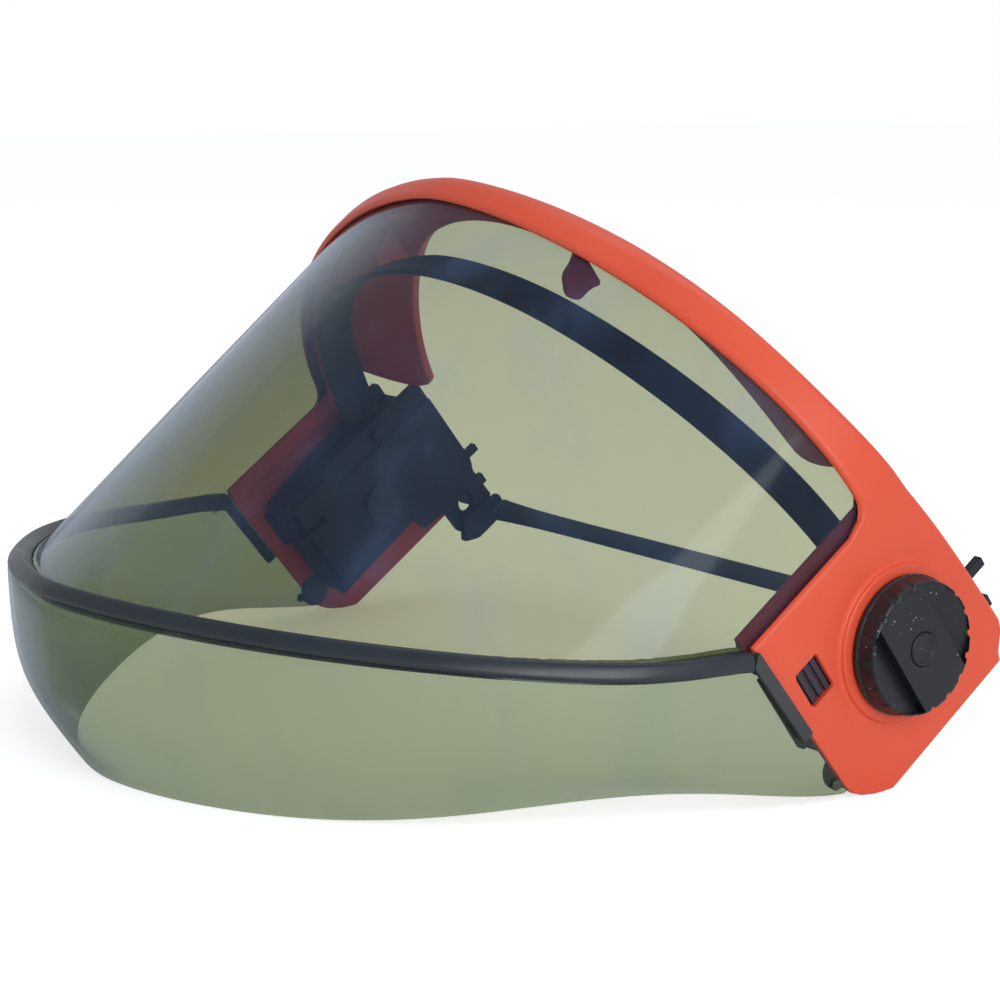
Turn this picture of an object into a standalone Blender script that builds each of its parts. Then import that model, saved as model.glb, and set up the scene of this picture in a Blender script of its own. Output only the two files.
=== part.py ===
"""Tinted face shield for a full-brim hard hat, lying on a table on its chin cup and side plates.

Every shape is written in the worn frame: X across the face (+X is the wearer's left), Y to the back
and Z up, with the flip hinge on the X axis.  The rest_pose empty then tips the whole shield back by
LEAN, so that it stands on Z = 0 with its front towards -Y.
Units are metres and radians.
"""
import math

import bmesh
import bpy
from mathutils import Vector

# --- Rest pose ---
LEAN = math.radians(54.0)
HINGE_HEIGHT = 0.04813
HINGE_Y = 0.0779

# --- Outer shell that the band, window and gasket follow ---
SHELL_HALF_WIDTH = 0.160
SHELL_DEPTH = 0.1032
SHELL_CENTRE_Y = -0.0462
SHELL_POWER = 1.68
SHELL_FRONT_TAPER = 0.0765
SHELL_SIDE_TAPER = 0.030
SHELL_TAPER_START_Z = -0.056
NORMAL_STEP = 0.002

# --- Frame ---
WALL = 0.0026
TOP_Z = 0.0322
BAND_LOW_Z = 0.0076
BAND_LOW_SLOPE = -0.100
TOP_RISE = 0.085
TOP_RISE_START_Y = -0.0382
TOP_DIP = 0.0049
TOP_DIP_Y = -0.070
TOP_DIP_REACH = 0.037
PLATE_FRONT_Y = -0.0418
PLATE_BACK_Y = 0.0385
PLATE_LOW_Z = -0.0458
PLATE_LOW_SLOPE = 0.0401
PLATE_LOW_CHAMFER_Y = 0.022
PLATE_LOW_CHAMFER_RISE = 0.0145
PLATE_TOP_CHAMFER_Y = 0.027
PLATE_TOP_CHAMFER_DROP = 0.008
OPENING_RADIUS = 0.008
DECK_THICKNESS = 0.0025
DECK_RISE = 0.009
DECK_HALF_WIDTH = 0.113
DECK_DEPTH = 0.130
DECK_CENTRE_Y = 0.002
DECK_END = math.radians(70.0)
LIP_START = math.radians(86.0)
LIP_WIDTH = 0.0055
BOSS_RADIUS = 0.0256
BOSS_HEIGHT = 0.0017

# --- Window ---
CLEARANCE = 0.0003
WINDOW_THICKNESS = 0.0015
WINDOW_INSET = WALL + CLEARANCE
WINDOW_TOP_GAP = 0.0009
WINDOW_ROWS = 4
WINDOW_LAP = 0.004
WINDOW_SIDE_LAP = 0.0062
EDGE_Z = -0.0022
EDGE_SLOPE = 1.153
EDGE_LIFT = 0.0035
EDGE_LIFT_POWER = 60

# --- Inner retainer that clamps the window ---
RETAINER_INSET = WINDOW_INSET + WINDOW_THICKNESS + CLEARANCE
RETAINER_THICKNESS = 0.0022
RETAINER_HIDE = 0.0030
RETAINER_LEG_RUN = 0.0085
RETAINER_LEG_START = 0.0012
RETAINER_FOOT_Z = -0.0465

# --- Gasket and chin cup ---
GASKET_HEIGHT = 0.0064
GASKET_FRONT_FLARE = 0.0025
GASKET_LIP = 0.0018
END_RUN = 0.0041
EDGE_LINE = Vector((0.0, 1.0, EDGE_SLOPE))
SLOT_TOP = 0.0030
CHIN_THICKNESS = 0.0015
CHIN_FACE = 0.0027
CHIN_TOP = SLOT_TOP + CLEARANCE
CHIN_DROP = 0.034
CHIN_RIM_HALF_WIDTH = 0.1598
CHIN_RIM_DEPTH = 0.1772
CHIN_RIM_CENTRE_Y = -0.0208
CHIN_RIM_POWER = 1.75
CHIN_RIM_Z = -0.0481
CHIN_RIM_END_LIFT = 0.0027
CHIN_RIM_SIDE_LIFT = 0.025
CHIN_ROWS = 6
CHIN_CREASE_POWER = 0.6
CHIN_END = math.radians(89.0)
CHIN_PLATE_GAP = 0.0008

STRIP_WIDTH = 0.0040
STRIP_THICKNESS = 0.0016
STRIP_END_Y = -0.004
STRIP_LEAD = 0.0008
TAB_RADIUS = 0.0062
TAB_THICKNESS = 0.0012
TAB_Y = 0.0183
TAB_Z = -0.0405
RIVET_RADIUS = 0.0018
RIVET_HEAD = 0.0009
RIVET_Z = -0.0458
CLIP_X = 0.0555
CLIP_THICKNESS = 0.0025
CLIP_OUTLINE = (
    (-0.1270, 0.0312), (-0.1100, 0.0312), (-0.1120, 0.0262), (-0.1115, 0.0205), (-0.1160, 0.0178),
    (-0.1225, 0.0210), (-0.1235, 0.0262))

# --- Adapter that stays on the hat ---
STRAP_HALF_WIDTH = 0.1462
STRAP_DEPTH = 0.117
STRAP_CENTRE_Y = -0.020
STRAP_POWER = 1.72
STRAP_THICKNESS = 0.0022
STRAP_LOW_Z = -0.004
STRAP_HIGH_Z = 0.010
STRAP_END = math.radians(80.8)
STRAP_TILT = 0.0045
STRAP_FAR_RISE = 0.012
STRAP_RISE_START = math.radians(15.0)
STRAP_RISE_END = math.radians(75.0)
STRAP_NEAR_RISE = 0.006
STRAP_NEAR_SPAN = math.radians(30.0)
STRAP_STEPS = 44
STRAP_RIVET_Y = -0.024
STRAP_RIVET_Z = 0.003
STRAP_RIVET_RADIUS = 0.0035
STRAP_RIVET_HEAD = 0.0016
CARRIER_FACE_X = 0.1365
CARRIER_SKIN = 0.0025
CARRIER_BACK_X = 0.1508
CARRIER_BOX = (-0.0300, 0.0165, -0.0380, 0.0330)
CARRIER_OUTLINE = (
    (-0.0300, -0.0380), (0.0180, -0.0380), (0.0165, 0.0030), (0.0165, 0.0065), (0.0235, 0.0090),
    (0.0245, 0.0205), (0.0360, 0.0210), (0.0420, 0.0250), (0.0345, 0.0430), (0.0195, 0.0420),
    (0.0150, 0.0440), (-0.0300, 0.0430))
PAD_BOX = (-0.0275, 0.0125, -0.0355, -0.0155)
PAD_FACE_X = 0.1340
FLANGE_SPAN_X = (0.1470, 0.1505)
FLANGE_OUTLINE = ((-0.0365, 0.0320), (-0.0310, -0.0300), (-0.0285, -0.0300), (-0.0285, 0.0320))
POST_SPAN_X = (0.1432, 0.1462)
POST_FOOT = 0.0035
POST_BOXES = ((0.0150, 0.0182, 0.0400, 0.0525), (0.0278, 0.0322, 0.0330, 0.0478))
EYE_Y = 0.0285
EYE_Z = 0.0310
EYE_RADIUS = 0.0038
STUD_RADIUS = 0.0045
STUD_FLANGE = 0.0020
STUD_FLANGE_RADIUS = 0.0090
STUD_END_X = 0.1665
BORE_RADIUS = 0.0049
SPACER_RADIUS = 0.0110
DISC_RADIUS = 0.0150
DISC_THICKNESS = 0.0012
REAR_STRAP_Y = 0.0385
REAR_STRAP_Z = 0.0395
REAR_STRAP_WIDTH = 0.0080
REAR_STRAP_THICKNESS = 0.0014
REAR_STRAP_STEPS = 24
HOOK_THICKNESS = 0.0030
HOOK_OUTLINE = ((0.0315, 0.0250), (0.0400, 0.0190), (0.0440, 0.0260), (0.0440, 0.0440), (0.0350, 0.0450))

# --- Knob ---
KNOB_RADIUS = 0.0223
KNOB_BASE_X = SHELL_HALF_WIDTH + BOSS_HEIGHT + CLEARANCE
KNOB_HEIGHT = 0.0085
KNOB_FLANGE = 0.0022
GRIP_HALF_WIDTH = 0.0105
KNOB_NOTCHES = 18
WEDGE_DEEP = 0.0034
WEDGE_SHALLOW = 0.0006
CAP_RADIUS = 0.0054
CAP_DEPTH = 0.0012
CAP_RISE = 0.0006

# --- Latch button in the side plate ---
LATCH_Y = -0.0158
LATCH_Z = -0.0332
LATCH_LENGTH = 0.0140
LATCH_WIDTH = 0.0104
LATCH_RIDGES = 3
LATCH_FACE_X = 0.1590
LATCH_FLANGE = 0.0034

SIDES = (("left", 1.0), ("right", -1.0))

ORANGE = ((0.82, 0.085, 0.022, 1.0), 0.38)
BLACK = ((0.012, 0.013, 0.016, 1.0), 0.45)
RUBBER = ((0.010, 0.011, 0.013, 1.0), 0.55)
WEBBING = ((0.010, 0.012, 0.022, 1.0), 0.85)
TINT = ((0.33, 0.36, 0.21, 1.0), 0.08)
CHIN_TINT = ((0.20, 0.25, 0.12, 1.0), 0.12)
GREEN = ((0.035, 0.060, 0.035, 1.0), 0.40)
BLACKENED = ((0.022, 0.022, 0.025, 1.0), 0.35)


# ---------------------------------------------------------------- helpers

def clear_scene():
    """Remove whatever the file holds."""
    for item in list(bpy.data.objects):
        bpy.data.objects.remove(item, do_unlink=True)


def make_material(name, look):
    """A Principled material with one colour and roughness."""
    colour, roughness = look
    material = bpy.data.materials.new(name)
    material.use_nodes = True
    shader = material.node_tree.nodes["Principled BSDF"]
    shader.inputs["Base Color"].default_value = colour
    shader.inputs["Roughness"].default_value = roughness
    material.diffuse_color = colour
    return material


def make_empty(name, parent=None, location=(0.0, 0.0, 0.0)):
    """An empty that carries a body."""
    empty = bpy.data.objects.new(name, None)
    empty.empty_display_size = 0.02
    empty.location = location
    empty.parent = parent
    bpy.context.collection.objects.link(empty)
    return empty


def finish_mesh(name, bm, parent, look, smooth=False):
    """Turn a bmesh into a named object with its own material."""
    bmesh.ops.remove_doubles(bm, verts=bm.verts, dist=1e-6)
    bmesh.ops.recalc_face_normals(bm, faces=bm.faces)
    mesh = bpy.data.meshes.new(name)
    bm.to_mesh(mesh)
    bm.free()
    for polygon in mesh.polygons:
        polygon.use_smooth = smooth
    piece = bpy.data.objects.new(name, mesh)
    piece.parent = parent
    bpy.context.collection.objects.link(piece)
    mesh.materials.append(make_material(name + "_finish", look))
    return piece


def swept_mesh(rings):
    """Join equal rings of points into one closed sweep with flat ends."""
    bm = bmesh.new()
    loops = [[bm.verts.new(point) for point in ring] for ring in rings]
    count = len(loops[0])
    for first, second in zip(loops, loops[1:]):
        for i in range(count):
            j = (i + 1) % count
            bm.faces.new((first[i], first[j], second[j], second[i]))
    bm.faces.new(loops[0])
    bm.faces.new(list(reversed(loops[-1])))
    return bm


def prism(outline, x_start, x_end):
    """Extrude a (y, z) outline along X."""
    rings = [[Vector((x, y, z)) for y, z in outline] for x in (x_start, x_end)]
    return swept_mesh(rings)


def circle(radius, centre=(0.0, 0.0), segments=28):
    """Points of a circle in the (y, z) plane."""
    turn = 2.0 * math.pi / segments
    return [(centre[0] + radius * math.cos(turn * i), centre[1] + radius * math.sin(turn * i))
            for i in range(segments)]


def rectangle(y_low, y_high, z_low, z_high):
    """Corners of a rectangle in the (y, z) plane."""
    return [(y_low, z_low), (y_high, z_low), (y_high, z_high), (y_low, z_high)]


def washer(outer, inner, x_start, x_end, centre=(0.0, 0.0), segments=28):
    """A flat ring around the X direction."""
    bm = bmesh.new()
    loops = []
    for radius, x in ((outer, x_start), (outer, x_end), (inner, x_end), (inner, x_start)):
        loops.append([bm.verts.new((x, y, z)) for y, z in circle(radius, centre, segments)])
    for first, second in zip(loops, loops[1:] + loops[:1]):
        for i in range(segments):
            j = (i + 1) % segments
            bm.faces.new((first[i], first[j], second[j], second[i]))
    return bm


def add_bevel(piece, width, segments=2, angle=40.0):
    """Round the edges that are sharper than the angle."""
    bevel = piece.modifiers.new("Bevel", "BEVEL")
    bevel.width = width
    bevel.segments = segments
    bevel.limit_method = "ANGLE"
    bevel.angle_limit = math.radians(angle)
    bevel.use_clamp_overlap = True


def add_boolean(piece, tool, operation="DIFFERENCE"):
    """Cut a tool out of a piece, or fuse it on, and keep the tool as a hidden guide."""
    boolean = piece.modifiers.new("Boolean", "BOOLEAN")
    boolean.operation = operation
    boolean.solver = "EXACT"
    boolean.object = tool
    tool.hide_render = True
    tool.display_type = "WIRE"


def tool_mesh(name, bm, parent):
    """A cutter or a fused-on lump, which is no part of its own."""
    bmesh.ops.recalc_face_normals(bm, faces=bm.faces)
    mesh = bpy.data.meshes.new(name)
    bm.to_mesh(mesh)
    bm.free()
    tool = bpy.data.objects.new(name, mesh)
    tool.parent = parent
    bpy.context.collection.objects.link(tool)
    return tool


def blend(value, start, end):
    """0 before start, 1 after end, smooth between."""
    share = min(1.0, max(0.0, (value - start) / (end - start)))
    return share * share * (3.0 - 2.0 * share)


# ---------------------------------------------------------------- shell geometry

def plan_point(t, half_width, depth, centre_y, power):
    """Superellipse plan; t is 0 at the front and +-90 degrees at the sides."""
    sine = math.sin(t)
    cosine = max(math.cos(t), 0.0)
    x = half_width * math.copysign(abs(sine) ** (2.0 / power), sine)
    return Vector((x, centre_y - depth * cosine ** (2.0 / power)))


def inset_plan(t, half_width, depth, centre_y, power, inset):
    """Plan point moved inwards along its own normal."""
    size = (half_width, depth, centre_y, power)
    step = plan_point(t + NORMAL_STEP, *size) - plan_point(t - NORMAL_STEP, *size)
    outward = Vector((step.y, -step.x)).normalized()
    return plan_point(t, *size) - inset * outward


def shell_point(t, run, z, inset):
    """Point of the tapered shell; run is the straight distance behind the side tangent."""
    half_width = SHELL_HALF_WIDTH + SHELL_SIDE_TAPER * min(z - SHELL_TAPER_START_Z, 0.0)
    depth = SHELL_DEPTH + SHELL_FRONT_TAPER * z
    if run > 0.0:
        return Vector((math.copysign(half_width - inset, t), SHELL_CENTRE_Y + run, z))
    flat = inset_plan(t, half_width, depth, SHELL_CENTRE_Y, SHELL_POWER, inset)
    return Vector((flat.x, flat.y, z))


def shell_angles():
    """Angles round the front, closer together at the sides where the shell turns into the plates."""
    half = [4.5 * i for i in range(17)] + [76.0, 79.0, 82.0, 84.0, 86.0, 88.0, 90.0]
    return [-math.radians(a) for a in reversed(half[1:])] + [math.radians(a) for a in half]


def stations(back_runs):
    """(t, run) pairs from the right side's back round the front to the left side's back."""
    side = math.pi / 2.0
    right = [(-side, run) for run in reversed(back_runs)]
    left = [(side, run) for run in back_runs]
    return right + [(t, 0.0) for t in shell_angles()] + left


def band_low(y):
    """Height of the band's lower edge."""
    return BAND_LOW_Z + BAND_LOW_SLOPE * y


def plate_low(y):
    """Height of the plate's straight lower edge."""
    return PLATE_LOW_Z + PLATE_LOW_SLOPE * max(0.0, y - PLATE_FRONT_Y)


def edge_point(t, inset):
    """Point of the line where the gasket's top edge meets the window."""
    z = EDGE_Z + EDGE_SLOPE * (SHELL_CENTRE_Y - SHELL_DEPTH * 0.5)
    lift = EDGE_LIFT * abs(math.sin(t)) ** EDGE_LIFT_POWER
    for _ in range(6):
        z = EDGE_Z + EDGE_SLOPE * shell_point(t, 0.0, z, 0.0).y + lift
    return shell_point(t, 0.0, z, inset)


def edge_frame(t):
    """Edge point on the window's outer face, with the outward and downward directions there."""
    point = edge_point(t, WINDOW_INSET)
    side = math.pi / 2.0
    along = edge_point(min(t + 0.01, side), WINDOW_INSET) - edge_point(max(t - 0.01, -side), WINDOW_INSET)
    above = shell_point(t, 0.0, point.z + 0.01, WINDOW_INSET) - shell_point(t, 0.0, point.z, WINDOW_INSET)
    outward = above.cross(along).normalized()
    if outward.x * point.x + outward.y * (point.y - SHELL_CENTRE_Y) < 0.0:
        outward.negate()
    down = outward.cross(along).normalized()
    if down.z > 0.0:
        down.negate()
    return point, outward, down


# ---------------------------------------------------------------- visor pieces

def frame_levels(y):
    """Heights of the plate's bottom, the opening's edge and the top at one place."""
    top = TOP_Z + TOP_RISE * max(0.0, y - TOP_RISE_START_Y)
    top -= TOP_DIP * math.exp(-((y - TOP_DIP_Y) / TOP_DIP_REACH) ** 2)
    top -= PLATE_TOP_CHAMFER_DROP * blend(y, PLATE_TOP_CHAMFER_Y, PLATE_BACK_Y)
    into_corner = min(max(0.0, y - (PLATE_FRONT_Y - OPENING_RADIUS)), OPENING_RADIUS)
    drop = OPENING_RADIUS - math.sqrt(OPENING_RADIUS ** 2 - into_corner ** 2)
    opening = band_low(min(y, PLATE_FRONT_Y)) - drop
    share = max(0.0, (y - PLATE_LOW_CHAMFER_Y) / (PLATE_BACK_Y - PLATE_LOW_CHAMFER_Y))
    bottom = plate_low(y) + PLATE_LOW_CHAMFER_RISE * share ** 2
    return bottom, opening, top


def deck_edge(t, run, inner, top):
    """Inner edge of the top deck, which narrows to a lip beside the plates."""
    lip = shell_point(t, run, top, LIP_WIDTH)
    opening = plan_point(t, DECK_HALF_WIDTH, DECK_DEPTH, DECK_CENTRE_Y, 2.0)
    wide = Vector((opening.x, opening.y, top + DECK_RISE))
    share = blend(abs(t), DECK_END, LIP_START)
    reach = min(1.0, (wide - inner).length / 0.03)
    wide.z = top + DECK_RISE * reach
    return wide.lerp(lip, share)


def frame_rings(t, run):
    """Section of the frame: outside bottom up to the top, over the deck and down the inside."""
    y = shell_point(t, run, 0.0, 0.0).y
    bottom, opening, top = frame_levels(y)
    inner = shell_point(t, run, top, WALL)
    edge = deck_edge(t, run, inner, top)
    under = Vector((edge.x, edge.y, edge.z - DECK_THICKNESS))
    upper = [shell_point(t, run, opening, 0.0), shell_point(t, run, top, 0.0), edge, under,
             shell_point(t, run, top - DECK_THICKNESS, WALL), shell_point(t, run, opening, WALL)]
    lower = [shell_point(t, run, bottom, 0.0), shell_point(t, run, bottom, WALL)]
    return upper, lower


def frame_mesh():
    """Band, top deck and side plates as one moulding."""
    fronts = PLATE_FRONT_Y - SHELL_CENTRE_Y
    plate_ys = (TOP_RISE_START_Y, -0.026, -0.012, 0.005, PLATE_LOW_CHAMFER_Y, PLATE_TOP_CHAMFER_Y,
                0.031, 0.035, PLATE_BACK_Y)
    runs = [0.0016, fronts] + [y - SHELL_CENTRE_Y for y in plate_ys]
    bm = bmesh.new()
    uppers, lowers = [], []
    for t, run in stations(runs):
        upper, lower = frame_rings(t, run)
        uppers.append([bm.verts.new(point) for point in upper])
        in_plate = run >= fronts
        lowers.append([bm.verts.new(point) for point in lower] if in_plate else None)
    for i in range(len(uppers) - 1):
        first, second = uppers[i], uppers[i + 1]
        for j in range(5):
            bm.faces.new((first[j], first[j + 1], second[j + 1], second[j]))
        if lowers[i] and lowers[i + 1]:
            low_first, low_second = lowers[i], lowers[i + 1]
            bm.faces.new((low_first[0], first[0], second[0], low_second[0]))
            bm.faces.new((low_first[1], low_first[0], low_second[0], low_second[1]))
            bm.faces.new((first[5], low_first[1], low_second[1], second[5]))
        else:
            bm.faces.new((first[5], first[0], second[0], second[5]))
    for i in (0, -1):
        bm.faces.new([lowers[i][0]] + uppers[i] + [lowers[i][1]])
    fronts_index = len(runs) - 2
    for i in (fronts_index, len(uppers) - 1 - fronts_index):
        bm.faces.new((lowers[i][0], uppers[i][0], uppers[i][5], lowers[i][1]))
    return bm


def build_frame(visor):
    """The orange frame, with a raised boss, a stud hole and a latch hole in each plate."""
    frame = finish_mesh("visor_frame", frame_mesh(), visor, ORANGE)
    add_bevel(frame, 0.0006, segments=1)
    inside = SHELL_HALF_WIDTH - WALL
    for name, side in SIDES:
        boss = tool_mesh("boss_tool_" + name, prism(
            circle(BOSS_RADIUS, segments=48), side * (inside + 0.001),
            side * (SHELL_HALF_WIDTH + BOSS_HEIGHT)), visor)
        add_bevel(boss, 0.0011)
        add_boolean(frame, boss, "UNION")
        bore = tool_mesh("bore_tool_" + name, prism(
            circle(BORE_RADIUS + 0.0006, segments=24), side * (inside - 0.004),
            side * (SHELL_HALF_WIDTH + 0.006)), visor)
        add_boolean(frame, bore)
        half_length = LATCH_LENGTH / 2.0
        half_width = LATCH_WIDTH / 2.0
        hole = tool_mesh("latch_tool_" + name, prism(rectangle(
            LATCH_Y - half_length, LATCH_Y + half_length, LATCH_Z - half_width, LATCH_Z + half_width),
            side * (inside - 0.004), side * (SHELL_HALF_WIDTH + 0.006)), visor)
        add_boolean(frame, hole)


def loft_skin(outer_columns, inner_columns):
    """Closed thin skin between matching columns of its outer and inner faces."""
    bm = bmesh.new()
    loops = []
    for outer, inner in zip(outer_columns, inner_columns):
        loops.append([bm.verts.new(point) for point in outer + list(reversed(inner))])
    count = len(loops[0])
    for first, second in zip(loops, loops[1:]):
        for i in range(count):
            j = (i + 1) % count
            bm.faces.new((first[i], first[j], second[j], second[i]))
    for loop in (loops[0], loops[-1]):
        for i in range(count // 2 - 1):
            bm.faces.new((loop[i], loop[i + 1], loop[count - 2 - i], loop[count - 1 - i]))
    return bm


def window_columns(inset):
    """Columns of one face of the window, from under the gasket up into the band."""
    columns = []
    for t, run in stations([WINDOW_SIDE_LAP * 0.5, WINDOW_SIDE_LAP]):
        bottom = edge_point(t, WINDOW_INSET).z - WINDOW_LAP
        _, _, top = frame_levels(shell_point(t, run, 0.0, 0.0).y)
        height = top - DECK_THICKNESS - WINDOW_TOP_GAP - bottom
        columns.append([shell_point(t, run, bottom + height * i / WINDOW_ROWS, inset)
                        for i in range(WINDOW_ROWS + 1)])
    return columns


def build_window(visor):
    """The tinted window, a single curved sheet."""
    skin = loft_skin(window_columns(WINDOW_INSET), window_columns(WINDOW_INSET + WINDOW_THICKNESS))
    finish_mesh("window", skin, visor, TINT, smooth=True)


def retainer_levels():
    """Place, lower and upper height of each section of the inner retainer."""
    result = []
    for t, run in stations([RETAINER_LEG_START, RETAINER_LEG_RUN * 0.5, RETAINER_LEG_RUN]):
        y = shell_point(t, run, 0.0, 0.0).y
        _, opening, top = frame_levels(y)
        result.append((t, run, opening + RETAINER_HIDE, top - DECK_THICKNESS - 2.0 * CLEARANCE))
    return result


def build_retainer(visor):
    """Inner strip along the band, with a leg down each plate that clamps the window's end."""
    bm = bmesh.new()
    back = RETAINER_INSET + RETAINER_THICKNESS
    uppers, lowers = [], []
    for t, run, low, high in retainer_levels():
        uppers.append([bm.verts.new(shell_point(t, run, z, inset)) for z, inset in (
            (low, RETAINER_INSET), (high, RETAINER_INSET), (high, back), (low, back))])
        in_leg = run >= RETAINER_LEG_START
        lowers.append([bm.verts.new(shell_point(t, run, RETAINER_FOOT_Z, inset))
                       for inset in (RETAINER_INSET, back)] if in_leg else None)
    for i in range(len(uppers) - 1):
        first, second = uppers[i], uppers[i + 1]
        for j in range(3):
            bm.faces.new((first[j], first[j + 1], second[j + 1], second[j]))
        if lowers[i] and lowers[i + 1]:
            bm.faces.new((lowers[i][0], first[0], second[0], lowers[i + 1][0]))
            bm.faces.new((lowers[i][1], lowers[i][0], lowers[i + 1][0], lowers[i + 1][1]))
            bm.faces.new((first[3], lowers[i][1], lowers[i + 1][1], second[3]))
        else:
            bm.faces.new((first[3], first[0], second[0], second[3]))
    for i in (0, -1):
        bm.faces.new([lowers[i][0]] + uppers[i] + [lowers[i][1]])
    inner_right = max(i for i in range(len(uppers) // 2) if lowers[i])
    for i in (inner_right, len(uppers) - 1 - inner_right):
        bm.faces.new((lowers[i][0], uppers[i][0], uppers[i][3], lowers[i][1]))
    finish_mesh("window_retainer", bm, visor, ORANGE)


def gasket_section(flare):
    """(outward, down) outline of the gasket: a rounded bead with a slot for the chin cup's rim."""
    slot_in = CHIN_FACE - CHIN_THICKNESS - CLEARANCE + flare
    slot_out = CHIN_FACE + CLEARANCE + flare
    face = slot_out + GASKET_LIP
    return [(CLEARANCE, GASKET_HEIGHT - 0.0006), (slot_in, GASKET_HEIGHT), (slot_in, SLOT_TOP),
            (slot_out, SLOT_TOP), (slot_out, GASKET_HEIGHT), (face - 0.0006, GASKET_HEIGHT),
            (face, GASKET_HEIGHT - 0.0012), (face, 0.0028), (face - 0.0008, 0.0010),
            (face - 0.0022, 0.0), (0.0012, 0.0), (CLEARANCE, 0.0008)]


def front_flare(t):
    """How much further the chin cup stands off the window at the front."""
    return GASKET_FRONT_FLARE * math.cos(t) ** 2


def build_gasket(visor):
    """Black edge strip between the window and the chin cup, with short straight ends that reach the plates."""
    angles = shell_angles()
    places = [(angles[0], END_RUN)] + [(t, 0.0) for t in angles] + [(angles[-1], END_RUN)]
    rings = []
    for t, run in places:
        point, outward, down = edge_frame(t)
        rings.append([point + outward * n + down * h + run * EDGE_LINE for n, h in gasket_section(front_flare(t))])
    finish_mesh("edge_gasket", swept_mesh(rings), visor, RUBBER)


def to_rest(point):
    """Worn frame to the level frame that the table gives."""
    return Vector((point.x, point.y * math.cos(LEAN) + point.z * math.sin(LEAN),
                   -point.y * math.sin(LEAN) + point.z * math.cos(LEAN)))


def to_worn(point):
    """Level frame back to the worn frame."""
    return Vector((point.x, point.y * math.cos(LEAN) - point.z * math.sin(LEAN),
                   point.y * math.sin(LEAN) + point.z * math.cos(LEAN)))


def chin_rim(t):
    """Bottom rim of the chin cup in the level frame."""
    flat = plan_point(t, CHIN_RIM_HALF_WIDTH, CHIN_RIM_DEPTH, CHIN_RIM_CENTRE_Y, CHIN_RIM_POWER)
    rise = math.sin(t) ** 2
    z = CHIN_RIM_Z + CHIN_RIM_END_LIFT * rise ** 2
    z += CHIN_RIM_SIDE_LIFT * rise ** 3 * math.sin(2.0 * t) ** 2
    return Vector((flat.x, flat.y, z))


def plate_column(t):
    """Top edge of the chin cup's side, straight along the plate's lower edge."""
    point, outward, _ = edge_frame(t)
    x = (point + outward * CHIN_FACE).x
    y_start, y_end = PLATE_FRONT_Y + 0.002, TAB_Y + TAB_RADIUS
    start = Vector((x, y_start, plate_low(y_start) - CHIN_PLATE_GAP))
    end = Vector((x, y_end, plate_low(y_end) - CHIN_PLATE_GAP))
    return [start.lerp(end, i / (CHIN_ROWS + 1)) for i in range(CHIN_ROWS + 2)]


def chin_column(t):
    """One line down the chin cup's outer face: slot rim, upright wall, rounded crease and bowl."""
    point, outward, down = edge_frame(t)
    rim = point + outward * (CHIN_FACE + front_flare(t)) + down * CHIN_TOP
    end = to_worn(chin_rim(max(-CHIN_END, min(CHIN_END, t))))
    if abs(t) > CHIN_END:
        rim += (END_RUN + 2.0 * CLEARANCE) * EDGE_LINE
    upright = math.cos(t) ** CHIN_CREASE_POWER
    start = rim + down * (GASKET_HEIGHT + 4.0 * CLEARANCE - CHIN_TOP)
    top = to_rest(start)
    low = to_rest(end)
    dropped = Vector((top.x, top.y, top.z - CHIN_DROP))
    crease = top.lerp(low, 0.5).lerp(dropped, upright)
    line = []
    for i in range(CHIN_ROWS + 1):
        share = i / CHIN_ROWS
        line.append(to_worn(top.lerp(crease, share).lerp(crease.lerp(low, share), share)))
    return [rim] + line


def chin_inner_columns(columns, angles):
    """Inner face: straight behind the rim's slot, then along the surface's own normals."""
    inner = []
    for i, column in enumerate(columns):
        _, outward, _ = edge_frame(angles[i])
        before = columns[max(i - 1, 0)]
        after = columns[min(i + 1, len(columns) - 1)]
        line = []
        for j, point in enumerate(column):
            across = after[j] - before[j]
            along = column[min(j + 1, len(column) - 1)] - column[max(j - 1, 0)]
            normal = along.cross(across).normalized()
            if normal.dot(outward) < 0.0:
                normal.negate()
            if j < 2 or abs(angles[i]) > CHIN_END:
                normal = outward
            line.append(point - normal * CHIN_THICKNESS)
        inner.append(line)
    return inner


def build_chin_cup(visor):
    """The green chin cup, a formed sheet that ends along the plates' lower edges."""
    angles = shell_angles()
    first, last = angles[0], angles[-1]
    columns = [plate_column(first)] + [chin_column(t) for t in angles] + [plate_column(last)]
    skin = loft_skin(columns, chin_inner_columns(columns, [first] + angles + [last]))
    finish_mesh("chin_cup", skin, visor, CHIN_TINT, smooth=True)


def build_gasket_ends(visor):
    """Square-ended strip along each plate's lower edge, over the joint with the chin cup."""
    for name, side in SIDES:
        y_start = PLATE_FRONT_Y + STRIP_LEAD
        y_end = STRIP_END_Y
        outline = [(y_start, plate_low(y_start) + 0.0002), (y_end, plate_low(y_end) + 0.0002),
                   (y_end, plate_low(y_end) - STRIP_WIDTH), (y_start + 0.003, plate_low(y_start) - STRIP_WIDTH)]
        inside = SHELL_HALF_WIDTH + CLEARANCE
        strip = finish_mesh("gasket_end_" + name, prism(
            outline, side * inside, side * (inside + STRIP_THICKNESS)), visor, RUBBER)
        add_bevel(strip, 0.0004)


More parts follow.
